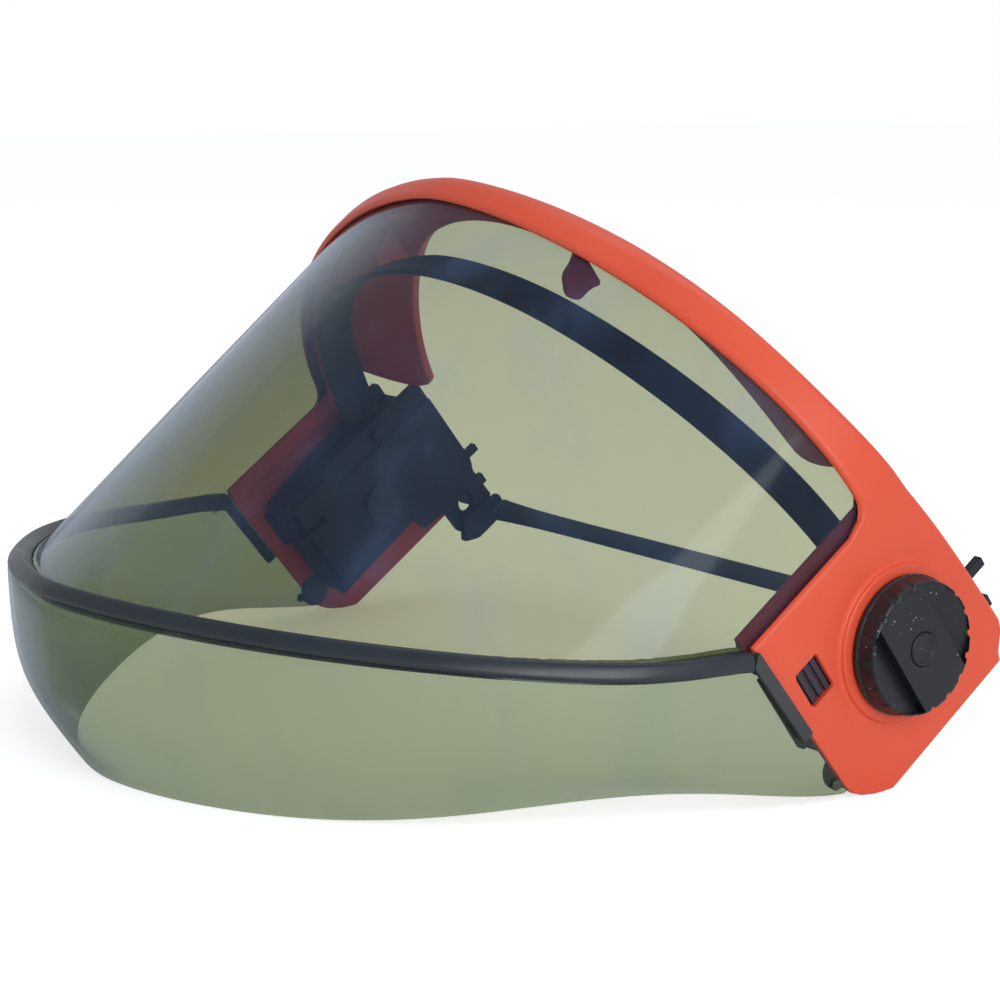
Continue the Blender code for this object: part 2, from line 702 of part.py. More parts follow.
def build_corner_tabs(visor):
    """Green tab behind each rear corner of the chin cup, and the rivet that joins them."""
    for name, side in SIDES:
        tab_out = SHELL_HALF_WIDTH - WALL - CLEARANCE
        tab = finish_mesh("corner_tab_" + name, prism(
            circle(TAB_RADIUS, (TAB_Y, TAB_Z)), side * tab_out, side * (tab_out - TAB_THICKNESS)),
            visor, GREEN)
        add_bevel(tab, 0.0003, segments=1)
        head_in = SHELL_HALF_WIDTH + CLEARANCE
        rivet = finish_mesh("corner_rivet_" + name, prism(
            circle(RIVET_RADIUS, (TAB_Y, RIVET_Z), 16), side * head_in, side * (head_in + RIVET_HEAD)),
            visor, GREEN)
        add_bevel(rivet, 0.0004, segments=1)


def build_window_clips(visor):
    """Small hooks under the deck that hold the window's top edge near the front."""
    for name, side in SIDES:
        clip = finish_mesh("window_clip_" + name, prism(
            CLIP_OUTLINE, side * CLIP_X, side * (CLIP_X + CLIP_THICKNESS)), visor, ORANGE)
        add_bevel(clip, 0.0005)


def build_carriers(adapter):
    """Black moulded carriers that join the brow strap, the hinge studs and the rear strap.

    Each has a raised pad that bears on the side of the hat, and two small posts behind its top edge.
    """
    for name, side in SIDES:
        block = finish_mesh("carrier_" + name, prism(
            CARRIER_OUTLINE, side * CARRIER_FACE_X, side * (CARRIER_FACE_X + CARRIER_SKIN)), adapter, BLACK)
        rim_outline = rectangle(CARRIER_BOX[0], CARRIER_BOX[1], CARRIER_BOX[2], CARRIER_BOX[3])
        rim = tool_mesh("carrier_rim_tool_" + name, prism(
            rim_outline, side * (CARRIER_FACE_X + 0.001), side * CARRIER_BACK_X), adapter)
        add_boolean(block, rim, "UNION")
        pad = tool_mesh("carrier_pad_tool_" + name, prism(
            rectangle(*PAD_BOX), side * PAD_FACE_X, side * (CARRIER_FACE_X + 0.001)), adapter)
        add_boolean(block, pad, "UNION")
        flange = tool_mesh("carrier_flange_tool_" + name, prism(
            FLANGE_OUTLINE, side * FLANGE_SPAN_X[0], side * FLANGE_SPAN_X[1]), adapter)
        add_boolean(block, flange, "UNION")
        pocket = tool_mesh("carrier_pocket_tool_" + name, prism(
            rectangle(CARRIER_BOX[0] + CARRIER_SKIN, CARRIER_BOX[1] - CARRIER_SKIN,
                      CARRIER_BOX[2] + CARRIER_SKIN, CARRIER_BOX[3] - CARRIER_SKIN),
            side * (CARRIER_FACE_X + CARRIER_SKIN), side * (CARRIER_BACK_X + 0.004)), adapter)
        add_boolean(block, pocket)
        bore = tool_mesh("carrier_bore_tool_" + name, prism(
            circle(BORE_RADIUS, segments=24), side * (CARRIER_FACE_X - 0.004),
            side * (CARRIER_FACE_X + 0.008)), adapter)
        add_boolean(block, bore)
        eye = tool_mesh("carrier_eye_tool_" + name, prism(
            circle(EYE_RADIUS, (EYE_Y, EYE_Z), 20), side * (CARRIER_FACE_X - 0.004),
            side * (CARRIER_FACE_X + 0.008)), adapter)
        add_boolean(block, eye)
        for number, (y_low, y_high, z_low, z_high) in enumerate(POST_BOXES):
            stem = tool_mesh("carrier_stem_tool_%s_%d" % (name, number), prism(
                rectangle(y_low, y_high, z_low, z_low + POST_FOOT), side * (CARRIER_FACE_X + 0.001),
                side * POST_SPAN_X[1]), adapter)
            add_boolean(block, stem, "UNION")
            post = tool_mesh("carrier_post_tool_%s_%d" % (name, number), prism(
                rectangle(y_low, y_high, z_low, z_high), side * POST_SPAN_X[0], side * POST_SPAN_X[1]), adapter)
            add_boolean(block, post, "UNION")
        add_bevel(block, 0.0004, segments=1)


def build_studs(adapter):
    """Hinge stud of each side, with the spacer that fills the space up to the plate."""
    for name, side in SIDES:
        flange_in = CARRIER_FACE_X - CLEARANCE - STUD_FLANGE
        stud = finish_mesh("pivot_stud_" + name, prism(
            circle(STUD_FLANGE_RADIUS, segments=32), side * flange_in, side * (flange_in + STUD_FLANGE)),
            adapter, BLACKENED)
        shaft = tool_mesh("stud_shaft_tool_" + name, prism(
            circle(STUD_RADIUS, segments=24), side * (flange_in + 0.0005), side * STUD_END_X), adapter)
        add_boolean(stud, shaft, "UNION")
        spacer_in = CARRIER_FACE_X + CARRIER_SKIN + CLEARANCE
        spacer_out = SHELL_HALF_WIDTH - WALL - CLEARANCE
        finish_mesh("pivot_spacer_" + name, washer(
            SPACER_RADIUS, BORE_RADIUS, side * spacer_in, side * (spacer_out - DISC_THICKNESS - CLEARANCE)),
            adapter, BLACK)
        finish_mesh("friction_disc_" + name, washer(
            DISC_RADIUS, BORE_RADIUS, side * (spacer_out - DISC_THICKNESS), side * spacer_out),
            adapter, RUBBER)


def strap_rise(t):
    """How much higher the brow strap sits towards its right end."""
    near = STRAP_NEAR_RISE * blend(t, -STRAP_NEAR_SPAN, STRAP_NEAR_SPAN)
    return near + STRAP_FAR_RISE * blend(-t, STRAP_RISE_START, STRAP_RISE_END)


def build_brow_strap(adapter):
    """Flexible strap that runs round the hat's brim between the carriers."""
    rings = []
    size = (STRAP_HALF_WIDTH, STRAP_DEPTH, STRAP_CENTRE_Y, STRAP_POWER)
    for i in range(STRAP_STEPS + 1):
        t = STRAP_END * (2.0 * i / STRAP_STEPS - 1.0)
        rise = strap_rise(t)
        ring = []
        for z, inset in ((STRAP_LOW_Z, 0.0), (STRAP_HIGH_Z, STRAP_TILT),
                         (STRAP_HIGH_Z, STRAP_TILT + STRAP_THICKNESS), (STRAP_LOW_Z, STRAP_THICKNESS)):
            flat = inset_plan(t, *size, inset)
            ring.append(Vector((flat.x, flat.y, z + rise)))
        rings.append(ring)
    finish_mesh("brow_strap", swept_mesh(rings), adapter, WEBBING)


def build_strap_rivets(adapter):
    """Button rivet that holds each end of the brow strap to its carrier."""
    for name, side in SIDES:
        face = CARRIER_FACE_X - CLEARANCE
        rivet = finish_mesh("strap_rivet_" + name, prism(
            circle(STRAP_RIVET_RADIUS, (STRAP_RIVET_Y, STRAP_RIVET_Z + strap_rise(side * STRAP_END)), 18), side * face,
            side * (face - STRAP_RIVET_HEAD)), adapter, BLACK)
        add_bevel(rivet, 0.0005, segments=1)


def build_rear_strap(adapter):
    """Elastic strap across the back, with a hook at each end."""
    half = CARRIER_FACE_X - CLEARANCE - HOOK_THICKNESS - CLEARANCE
    rings = []
    for i in range(REAR_STRAP_STEPS + 1):
        x = half * (2.0 * i / REAR_STRAP_STEPS - 1.0)
        height = REAR_STRAP_WIDTH * (0.5 + 0.22 * abs(x / half) ** 6)
        rings.append([Vector((x, REAR_STRAP_Y + dy, REAR_STRAP_Z + dz)) for dy, dz in (
            (0.0, -height), (0.0, height), (REAR_STRAP_THICKNESS, height), (REAR_STRAP_THICKNESS, -height))])
    finish_mesh("rear_strap", swept_mesh(rings), adapter, WEBBING)
    for name, side in SIDES:
        outer = CARRIER_FACE_X - CLEARANCE
        hook = finish_mesh("strap_hook_" + name, prism(
            HOOK_OUTLINE, side * outer, side * (outer - HOOK_THICKNESS)), adapter, BLACK)
        add_bevel(hook, 0.0005)


def knob_outline():
    """Round grip face with finger notches."""
    points = []
    count = KNOB_NOTCHES * 4
    for i in range(count):
        turn = 2.0 * math.pi * i / count
        notch = max(0.0, math.cos(turn * KNOB_NOTCHES) - 0.35)
        radius = KNOB_RADIUS - 0.0012 * notch
        points.append((radius * math.cos(turn), radius * math.sin(turn)))
    return points


def build_knobs(adapter):
    """Big clamping knobs, each turning on its own stud."""
    for name, side in SIDES:
        axis = make_empty("knob_axis_" + name, adapter)
        top = KNOB_BASE_X + KNOB_HEIGHT
        knob = finish_mesh("knob_" + name, prism(
            knob_outline(), side * (KNOB_BASE_X + KNOB_FLANGE - 0.0004), side * top), axis, BLACK)
        add_bevel(knob, 0.0009, segments=1)
        flange = tool_mesh("knob_flange_tool_" + name, prism(
            circle(KNOB_RADIUS + 0.0004, segments=72), side * KNOB_BASE_X, side * (KNOB_BASE_X + KNOB_FLANGE)),
            axis)
        add_boolean(knob, flange, "UNION")
        for up in (1.0, -1.0):
            wedge = tool_mesh("knob_wedge_tool_%s_%s" % (name, "high" if up > 0.0 else "low"), swept_mesh([
                [Vector((side * (top - WEDGE_DEEP), y, up * GRIP_HALF_WIDTH)),
                 Vector((side * (top + 0.002), y, up * GRIP_HALF_WIDTH)),
                 Vector((side * (top + 0.002), y, up * (KNOB_RADIUS + 0.002))),
                 Vector((side * (top - WEDGE_SHALLOW), y, up * (KNOB_RADIUS + 0.002)))]
                for y in (-KNOB_RADIUS, KNOB_RADIUS)]), axis)
            add_boolean(knob, wedge)
        bore = tool_mesh("knob_bore_tool_" + name, prism(
            circle(BORE_RADIUS, segments=24), side * (KNOB_BASE_X - 0.002),
            side * (STUD_END_X + CLEARANCE)), axis)
        add_boolean(knob, bore)
        seat = tool_mesh("knob_seat_tool_" + name, prism(
            circle(CAP_RADIUS + CLEARANCE), side * (top - CAP_DEPTH - CLEARANCE),
            side * (top + 0.002)), axis)
        add_boolean(knob, seat)
        cap = finish_mesh("knob_cap_" + name, prism(
            circle(CAP_RADIUS), side * (top - CAP_DEPTH), side * (top + CAP_RISE)), axis, BLACK)
        add_bevel(cap, 0.0004, segments=1)


def build_latches(visor):
    """Ridged release button in the square opening of each plate; it slides in along X."""
    for name, side in SIDES:
        slide = make_empty("latch_slide_" + name, visor, (side * LATCH_FACE_X, LATCH_Y, LATCH_Z))
        half_length = LATCH_LENGTH / 2.0 - 0.0004
        half_width = LATCH_WIDTH / 2.0 - 0.0004
        inside = SHELL_HALF_WIDTH - WALL - CLEARANCE - LATCH_FACE_X
        button = finish_mesh("latch_button_" + name, prism(
            rectangle(-half_length, half_length, -half_width, half_width), side * (inside - 0.001), 0.0),
            slide, BLACK)
        flange = tool_mesh("latch_flange_tool_" + name, prism(
            rectangle(-half_length - 0.0014, half_length + 0.0014, -half_width - 0.0014, half_width + 0.0014),
            side * (inside - LATCH_FLANGE), side * inside), slide)
        add_boolean(button, flange, "UNION")
        for i in range(LATCH_RIDGES + 1):
            z = half_width * (2.0 * i / LATCH_RIDGES - 1.0)
            groove = tool_mesh("latch_groove_tool_%s_%d" % (name, i), prism(
                rectangle(-half_length - 0.001, half_length + 0.001, z - 0.0007, z + 0.0007),
                side * -0.0009, side * 0.001), slide)
            add_boolean(button, groove)


def main():
    """Build the shield."""
    clear_scene()
    rest = make_empty("rest_pose", location=(0.0, HINGE_Y, HINGE_HEIGHT))
    rest.rotation_euler.x = -LEAN
    visor = make_empty("visor_pivot", rest)
    adapter = make_empty("hat_adapter", rest)
    build_frame(visor)
    build_window(visor)
    build_retainer(visor)
    build_gasket(visor)
    build_chin_cup(visor)
    build_gasket_ends(visor)
    build_corner_tabs(visor)
    build_window_clips(visor)
    build_latches(visor)
    build_carriers(adapter)
    build_studs(adapter)
    build_brow_strap(adapter)
    build_strap_rivets(adapter)
    build_rear_strap(adapter)
    build_knobs(adapter)


main()
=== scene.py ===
from math import acos, copysign, cos, exp, pi, radians, sin, sqrt

import bmesh
import bpy
from mathutils import Matrix, Vector, noise


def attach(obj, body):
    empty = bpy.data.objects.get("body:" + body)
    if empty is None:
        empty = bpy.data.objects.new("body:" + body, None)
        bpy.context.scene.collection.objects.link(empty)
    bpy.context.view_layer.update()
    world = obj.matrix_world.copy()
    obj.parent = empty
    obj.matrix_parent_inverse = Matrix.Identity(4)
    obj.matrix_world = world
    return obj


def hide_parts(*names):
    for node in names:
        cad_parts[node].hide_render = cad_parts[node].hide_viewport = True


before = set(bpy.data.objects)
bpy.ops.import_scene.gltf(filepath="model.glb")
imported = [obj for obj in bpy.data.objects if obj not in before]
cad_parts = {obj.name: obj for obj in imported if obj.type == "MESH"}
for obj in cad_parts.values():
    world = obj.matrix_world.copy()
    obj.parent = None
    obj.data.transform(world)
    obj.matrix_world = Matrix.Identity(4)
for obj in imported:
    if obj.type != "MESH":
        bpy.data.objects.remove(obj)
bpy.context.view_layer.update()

SCENE = bpy.context.scene

# ---- Rest pose ----
LEAN = radians(54.0)
HINGE = Vector((0.0, 0.0779, 0.04813))

# ---- Shell that the band, window and gasket follow; a PLAN is half width, depth, centre y and power ----
SHELL_HALF = 0.160
SHELL_DEPTH = 0.1032
SHELL_Y = -0.0462
SHELL_POWER = 1.68
SHELL_FRONT_TAPER = 0.0765
SHELL_SIDE_TAPER = 0.030
SHELL_TAPER_START_Z = -0.056
NORMAL_STEP = 0.002

# ---- Frame ----
WALL = 0.0026
TOP_Z = 0.0322
BAND_LOW_Z = 0.0076
BAND_LOW_SLOPE = -0.100
TOP_RISE = 0.085
TOP_RISE_START_Y = -0.0382
TOP_DIP = 0.0049
TOP_DIP_Y = -0.070
TOP_DIP_REACH = 0.037
PLATE_FRONT_Y = -0.0418
PLATE_BACK_Y = 0.0385
PLATE_LOW_Z = -0.0458
PLATE_LOW_SLOPE = 0.0401
PLATE_LOW_CHAMFER_Y = 0.022
PLATE_LOW_CHAMFER_RISE = 0.0145
PLATE_TOP_CHAMFER_Y = 0.027
PLATE_TOP_CHAMFER_DROP = 0.008
OPENING_RADIUS = 0.008
DECK_THICKNESS = 0.0025
DECK_RISE = 0.009
DECK_PLAN = (0.113, 0.130, 0.002, 2.0)
DECK_END = radians(70.0)
LIP_START = radians(86.0)
LIP_WIDTH = 0.0055
BOSS_RADIUS = 0.0256
BOSS_HEIGHT = 0.0017
BOSS_FILLET = 0.0030
BOSS_ROUND = 0.0010
BOSS_SUNK = 0.0012
BORE_EDGE = 0.0008
CORNER_RUNS = (0.0008, 0.0016, 0.0024)
PLATE_RINGS = 22
PLATE_RING_START = -0.0380
PLATE_RING_STEP = 0.0034
PLATE_RING_LAST = 0.0355
FRAME_BEVEL = 0.0075
TOP_WEIGHT_FRONT = 1.0
TOP_WEIGHT_SIDE = 0.30
TOP_WEIGHT_SPAN = (radians(20.0), radians(64.0))
OPENING_WEIGHT = 0.26
EDGE_WEIGHT = 0.11
SHARP_ANGLE = radians(34.0)
SHORTEST_EDGE = 0.0008
CREST_SHARE = 0.41

# ---- Window, retainer, gasket and chin cup ----
GAP = 0.0003
WINDOW_THICKNESS = 0.0015
WINDOW_INSET = WALL + GAP
WINDOW_TOP_GAP = 0.0009
WINDOW_LAP = 0.004
WINDOW_SIDE_LAP = 0.0062
WINDOW_ROWS = 22
EDGE_Z = -0.0022
EDGE_SLOPE = 1.153
EDGE_LIFT = 0.0035
EDGE_LIFT_POWER = 60
RETAINER_INSET = WINDOW_INSET + WINDOW_THICKNESS + GAP
RETAINER_THICKNESS = 0.0022
RETAINER_HIDE = 0.0030
RETAINER_LEG_RUN = 0.0085
RETAINER_LEG_START = 0.0012
RETAINER_RUNS = (RETAINER_LEG_START, 0.003, 0.005, RETAINER_LEG_RUN)
RETAINER_FOOT_Z = -0.0465
GASKET_HEIGHT = 0.0064
GASKET_FRONT_FLARE = 0.0025
GASKET_LIP = 0.0018
GASKET_TOE = 0.0006
GASKET_CROWN_STEPS = 9
GASKET_CROWN_POWER = 0.55
GASKET_CROWN_START = 0.0004
GASKET_BACK = 0.0024
END_RUN = 0.0041
END_STEPS = 3
EDGE_LINE = Vector((0.0, 1.0, EDGE_SLOPE))
SLOT_TOP = 0.0030
CHIN_THICKNESS = 0.0015
CHIN_FACE = 0.0027
CHIN_TOP = SLOT_TOP + GAP
CHIN_DROP = 0.034
CHIN_ROWS = 20
CHIN_CREASE_POWER = 0.6
CHIN_CREASE_WEIGHT = 2.2
CHIN_RIM_PLAN = (0.1598, 0.1772, -0.0208, 1.75)
CHIN_RIM_Z = -0.0481
CHIN_RIM_END_LIFT = 0.0027
CHIN_RIM_SIDE_LIFT = 0.025
CHIN_END = radians(89.0)
CHIN_PLATE_GAP = -0.0010
STRIP_WIDTH = 0.0040
STRIP_THICKNESS = 0.0016
STRIP_END_Y = -0.004
STRIP_LEAD = 0.0008
TAB_RADIUS = 0.0062
TAB_THICKNESS = 0.0012
TAB_Y = 0.0183
TAB_Z = -0.0405
RIVET_RADIUS = 0.0018
RIVET_HEAD = 0.0009
RIVET_FOOT = 0.35
RIVET_Z = -0.0458
CLIP_X = 0.0555
CLIP_THICKNESS = 0.0025
CLIP_OUTLINE = (
    (-0.1270, 0.0312), (-0.1100, 0.0312), (-0.1120, 0.0262), (-0.1115, 0.0205), (-0.1160, 0.0178),
    (-0.1225, 0.0210), (-0.1235, 0.0262))

# ---- Hat adapter ----
STRAP_PLAN = (0.1462, 0.117, -0.020, 1.72)
STRAP_THICKNESS = 0.0022
STRAP_LOW_Z = -0.004
STRAP_HIGH_Z = 0.010
STRAP_END = radians(80.8)
STRAP_TILT = 0.0045
STRAP_FAR_RISE = 0.012
STRAP_RISE_START = radians(15.0)
STRAP_RISE_END = radians(75.0)
STRAP_NEAR_RISE = 0.006
STRAP_NEAR_SPAN = radians(30.0)
STRAP_RIVET_Y = -0.024
STRAP_RIVET_Z = 0.003
STRAP_RIVET_RADIUS = 0.0035
STRAP_RIVET_HEAD = 0.0016
STRAP_RIVET_FOOT = 0.4
STRAP_BORDER = 0.0016
STRAP_SINK = 0.0003
STRAP_ROUND = 0.0004
STRAP_STEPS = 120
CARRIER_FACE_X = 0.1365
CARRIER_SKIN = 0.0025
CARRIER_BACK_X = 0.1508
CARRIER_BOX = (-0.0300, 0.0165, -0.0380, 0.0330)
CARRIER_OUTLINE = (
    (-0.0300, -0.0380), (0.0180, -0.0380), (0.0165, 0.0030), (0.0165, 0.0065), (0.0235, 0.0090),
    (0.0245, 0.0205), (0.0360, 0.0210), (0.0420, 0.0250), (0.0345, 0.0430), (0.0195, 0.0420),
    (0.0150, 0.0440), (-0.0300, 0.0430))
PAD_BOX = (-0.0275, 0.0125, -0.0355, -0.0155)
PAD_FACE_X = 0.1340
SLOT_BOX = (-0.0165, -0.0138, -0.0400, -0.0265)
STEP_BOX = (-0.034, -0.0200, -0.012, 0.045)
STEP_DEPTH = 0.0012
FLANGE_SPAN_X = (0.1470, 0.1505)
FLANGE_OUTLINE = ((-0.0365, 0.0320), (-0.0310, -0.0300), (-0.0285, -0.0300), (-0.0285, 0.0320))
POST_SPAN_X = (0.1432, 0.1462)
POST_FOOT = 0.0035
POST_BOXES = ((0.0150, 0.0182, 0.0400, 0.0525), (0.0278, 0.0322, 0.0330, 0.0478))
EYE_Y = 0.0285
EYE_Z = 0.0310
EYE_RADIUS = 0.0038
STUD_END_X = 0.1665
BORE_RADIUS = 0.0049
REAR_STRAP_Y = 0.0385
REAR_STRAP_Z = 0.0395
REAR_STRAP_WIDTH = 0.0080
REAR_STRAP_THICKNESS = 0.0014
REAR_STRAP_SECTION = (
    (0.0002, -1.0), (0.0, -0.96), (0.0, 0.96), (0.0002, 1.0),
    (REAR_STRAP_THICKNESS - 0.0002, 1.0), (REAR_STRAP_THICKNESS, 0.96),
    (REAR_STRAP_THICKNESS, -0.96), (REAR_STRAP_THICKNESS - 0.0002, -1.0))
HOOK_THICKNESS = 0.0030
HOOK_OUTLINE = ((0.0315, 0.0250), (0.0400, 0.0190), (0.0440, 0.0260), (0.0440, 0.0440), (0.0350, 0.0450))

# ---- Knob and latch button ----
KNOB_RADIUS = 0.0223
KNOB_BASE_X = SHELL_HALF + BOSS_HEIGHT + GAP
KNOB_HEIGHT = 0.0085
KNOB_TOP_X = KNOB_BASE_X + KNOB_HEIGHT
KNOB_FOOT_PROFILE = ((0.0, -0.0004), (0.0003, 0.0002), (0.0018, 0.0004), (0.0021, 0.0002), (0.0024, -0.0001))
KNOB_RIM_PROFILE = (
    (-0.0034, -0.0004, 0.2), (-0.0012, -0.0007, 1.0), (-0.0005, -0.0010, 1.0), (-0.0001, -0.0016, 1.0),
    (0.0, -0.0023, 0.6), (0.0, -0.0040, 0.0))
GRIP_HALF_WIDTH = 0.0105
KNOB_NOTCHES = 18
NOTCH_SEGMENTS = 20
NOTCH_DEPTH = 0.0007
NOTCH_FLANKS = (0.45, 0.80)
WEDGE_DEEP = 0.0034
WEDGE_SHALLOW = 0.0006
WEDGE_REACH = 0.0209
CAP_RADIUS = 0.0054
CAP_DEPTH = 0.0012
CAP_RISE = 0.0006
CAP_PROFILE = (
    (-CAP_DEPTH, 0.0), (-CAP_DEPTH, CAP_RADIUS), (CAP_RISE - 0.0004, CAP_RADIUS),
    (CAP_RISE - 0.0001, CAP_RADIUS - 0.0003), (CAP_RISE, CAP_RADIUS - 0.0006),
    (CAP_RISE, CAP_RADIUS - 0.0011), (CAP_RISE - 0.0003, CAP_RADIUS - 0.0014),
    (CAP_RISE - 0.0003, 0.0006), (CAP_RISE - 0.0003, 0.0))
LATCH_Y = -0.0158
LATCH_Z = -0.0332
LATCH_LENGTH = 0.0140
LATCH_WIDTH = 0.0104
LATCH_FACE_X = 0.1590
LATCH_FLANGE = 0.0034
LATCH_FLANGE_RIM = 0.0014
LATCH_PLAY = 0.0004
LATCH_GROOVES = 4
GROOVE_HALF_WIDTH = 0.0007
GROOVE_DEPTH = 0.0009

# ---- How far a cutting shape reaches past what it cuts, and a joined shape into what it joins ----
OVERCUT = 0.004
LAP = 0.001

# ---- Camera ----
CAMERA_AZIMUTH = radians(54.0)
CAMERA_ELEVATION = radians(10.6)
CAMERA_DISTANCE = 0.8653
CAMERA_RIGHT = -0.03182
CAMERA_UP = 0.02113
CAMERA_LENS = 84.325

# ---- Floor and surround ----
FLOOR_HALF_SIZE = 6.0
FLOOR_LIFT = 0.64
SKY_LOW = (0.62, 0.64, 0.68, 1.0)
SKY_HIGH = (0.30, 0.32, 0.36, 1.0)

# ---- Colour sockets of a mix node ----
MIX_A = 6
MIX_B = 7
MIX_OUT = 2

SIDES = (("left", 1.0), ("right", -1.0))


# ======== mesh helpers ========

def turned(point, angle):
    """(y, z) of a point turned about the X axis."""
    return (point.y * cos(angle) + point.z * sin(angle), point.z * cos(angle) - point.y * sin(angle))


def place(point):
    """Worn frame to the row frame."""
    y, z = turned(point, LEAN)
    return Vector((point.x, HINGE.y + y, HINGE.z + z))


def blend(value, start, end):
    """0 before start, 1 after end, smooth between."""
    share = min(1.0, max(0.0, (value - start) / (end - start)))
    return share * share * (3.0 - 2.0 * share)


def sweep(rings, closed=False, folded=False):
    """bmesh of equal rings of worn-frame points joined in order; a folded ring's ends are laced across."""
    bm = bmesh.new()
    loops = [[bm.verts.new(point) for point in ring] for ring in rings]
    count = len(loops[0])
    pairs = list(zip(loops, loops[1:]))
    if closed:
        pairs.append((loops[-1], loops[0]))
    for first, second in pairs:
        for i in range(count):
            j = (i + 1) % count
            bm.faces.new((first[i], first[j], second[j], second[i]))
    if folded:
        for loop in (loops[0], loops[-1]):
            for i in range(count // 2 - 1):
                bm.faces.new((loop[i], loop[i + 1], loop[count - 2 - i], loop[count - 1 - i]))
    elif not closed:
        bm.faces.new(loops[0])
        bm.faces.new(list(reversed(loops[-1])))
    return bm


def join_legged(bm, uppers, lowers):
    """Faces over open rings of vertices, some of which carry a leg of two more vertices."""
    face = bm.faces.new
    last = len(uppers[0]) - 1
    for i in range(len(uppers) - 1):
        first, second = uppers[i], uppers[i + 1]
        for j in range(last):
            face((first[j], first[j + 1], second[j + 1], second[j]))
        if lowers[i] and lowers[i + 1]:
            low_first, low_second = lowers[i], lowers[i + 1]
            face((low_first[0], first[0], second[0], low_second[0]))
            face((low_first[1], low_first[0], low_second[0], low_second[1]))
            face((first[last], low_first[1], low_second[1], second[last]))
        else:
            face((first[last], first[0], second[0], second[last]))
    for i in (0, -1):
        face([lowers[i][0]] + uppers[i] + [lowers[i][1]])
    leg_front = max(i for i in range(len(uppers) // 2) if lowers[i])
    for i in (leg_front, len(uppers) - 1 - leg_front):
        face((lowers[i][0], uppers[i][0], uppers[i][last], lowers[i][1]))


def prism(side, outline, x_start, x_end):
    """Extrude a (y, z) outline along X, on the left (1) or the right (-1)."""
    return sweep([[Vector((side * x, y, z)) for y, z in outline] for x in (x_start, x_end)])


def circle(radius, centre=(0.0, 0.0), segments=64):
    """Points of a circle in the (y, z) plane."""
    turn = 2.0 * pi / segments
    return [(centre[0] + radius * cos(turn * i), centre[1] + radius * sin(turn * i))
            for i in range(segments)]


def rectangle(y_low, y_high, z_low, z_high):
    """Corners of a rectangle in the (y, z) plane."""
    return [(y_low, z_low), (y_high, z_low), (y_high, z_high), (y_low, z_high)]


def box_around(y, z, half_length, half_width):
    """Corners of a rectangle about a centre in the (y, z) plane."""
    return rectangle(y - half_length, y + half_length, z - half_width, z + half_width)


def rounded(outline, radius, steps=5):
    """(y, z) outline with its corners rounded."""
    points = []
    count = len(outline)
    for i in range(count):
        corner = Vector(outline[i])
        before = Vector(outline[i - 1]) - corner
        after = Vector(outline[(i + 1) % count]) - corner
        reach = min(radius, before.length * 0.45, after.length * 0.45)
        start = corner + before.normalized() * reach
        end = corner + after.normalized() * reach
        for k in range(steps + 1):
            share = k / steps
            point = start.lerp(corner, share).lerp(corner.lerp(end, share), share)
            points.append((point.x, point.y))
    return points


def lathe(profile, side, centre=(0.0, 0.0), segments=96):
    """Turn an (x, radius) profile round the X direction."""
    rings = []
    for x, radius in profile:
        rings.append([Vector((side * x, y, z)) for y, z in circle(max(radius, 1e-5), centre, segments)])
    return sweep(rings)


def dome_profile(base, height, radius, foot, steps):
    """(x, radius) profile of a round head: an upright foot and a rounded top."""
    profile = [(base, 0.0), (base, radius), (base + height * foot, radius)]
    for i in range(1, steps + 1):
        turn = pi / 2.0 * i / steps
        rise = foot + (1.0 - foot) * sin(turn)
        profile.append((base + height * rise, radius * cos(turn)))
    return profile


def shade_smooth(piece, smooth=True):
    """Set the shading of every face."""
    for polygon in piece.data.polygons:
        polygon.use_smooth = smooth


def mesh_from(name, bm):
    """A mesh data block from a bmesh in the worn frame."""
    bmesh.ops.remove_doubles(bm, verts=bm.verts, dist=2e-6)
    bmesh.ops.recalc_face_normals(bm, faces=bm.faces)
    for vert in bm.verts:
        vert.co = place(vert.co)
    mesh = bpy.data.meshes.new(name)
    bm.to_mesh(mesh)
    bm.free()
    return mesh


def add_object(name, data):
    """A new object in the scene."""
    item = bpy.data.objects.new(name, data)
    SCENE.collection.objects.link(item)
    return item


def make_piece(name, bm, material, body, replaces=(), bevel=0.0, segments=3):
    """A visible piece on a CAD body."""
    piece = add_object(name, mesh_from(name, bm))
    piece.data.materials.append(material)
    shade_smooth(piece)
    if bevel > 0.0:
        add_bevel(piece, bevel, segments)
    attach(piece, body)
    if replaces:
        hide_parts(*replaces)
    return piece


def add_bevel(piece, width, segments=3, angle=30.0):
    """Round the sharp edges and shade the flats evenly."""
    bevel = piece.modifiers.new("Bevel", "BEVEL")
    bevel.width = width
    bevel.segments = segments
    bevel.limit_method = "ANGLE"
    bevel.angle_limit = radians(angle)
    bevel.use_clamp_overlap = True
    weighted = piece.modifiers.new("WeightedNormal", "WEIGHTED_NORMAL")
    weighted.keep_sharp = True
    return bevel


def combine(piece, bm, operation="DIFFERENCE"):
    """Cut a worn-frame bmesh out of an object, or fuse it on, for good."""
    tool = add_object("tool", mesh_from("tool", bm))
    boolean = piece.modifiers.new("Boolean", "BOOLEAN")
    boolean.operation = operation
    boolean.solver = "EXACT"
    boolean.object = tool
    bpy.context.view_layer.update()
    graph = bpy.context.evaluated_depsgraph_get()
    result = bpy.data.meshes.new_from_object(piece.evaluated_get(graph))
    piece.modifiers.remove(boolean)
    old = piece.data
    result.name = old.name
    piece.data = result
    bpy.data.meshes.remove(old)
    tool_data = tool.data
    bpy.data.objects.remove(tool)
    bpy.data.meshes.remove(tool_data)


# ======== shell geometry ========

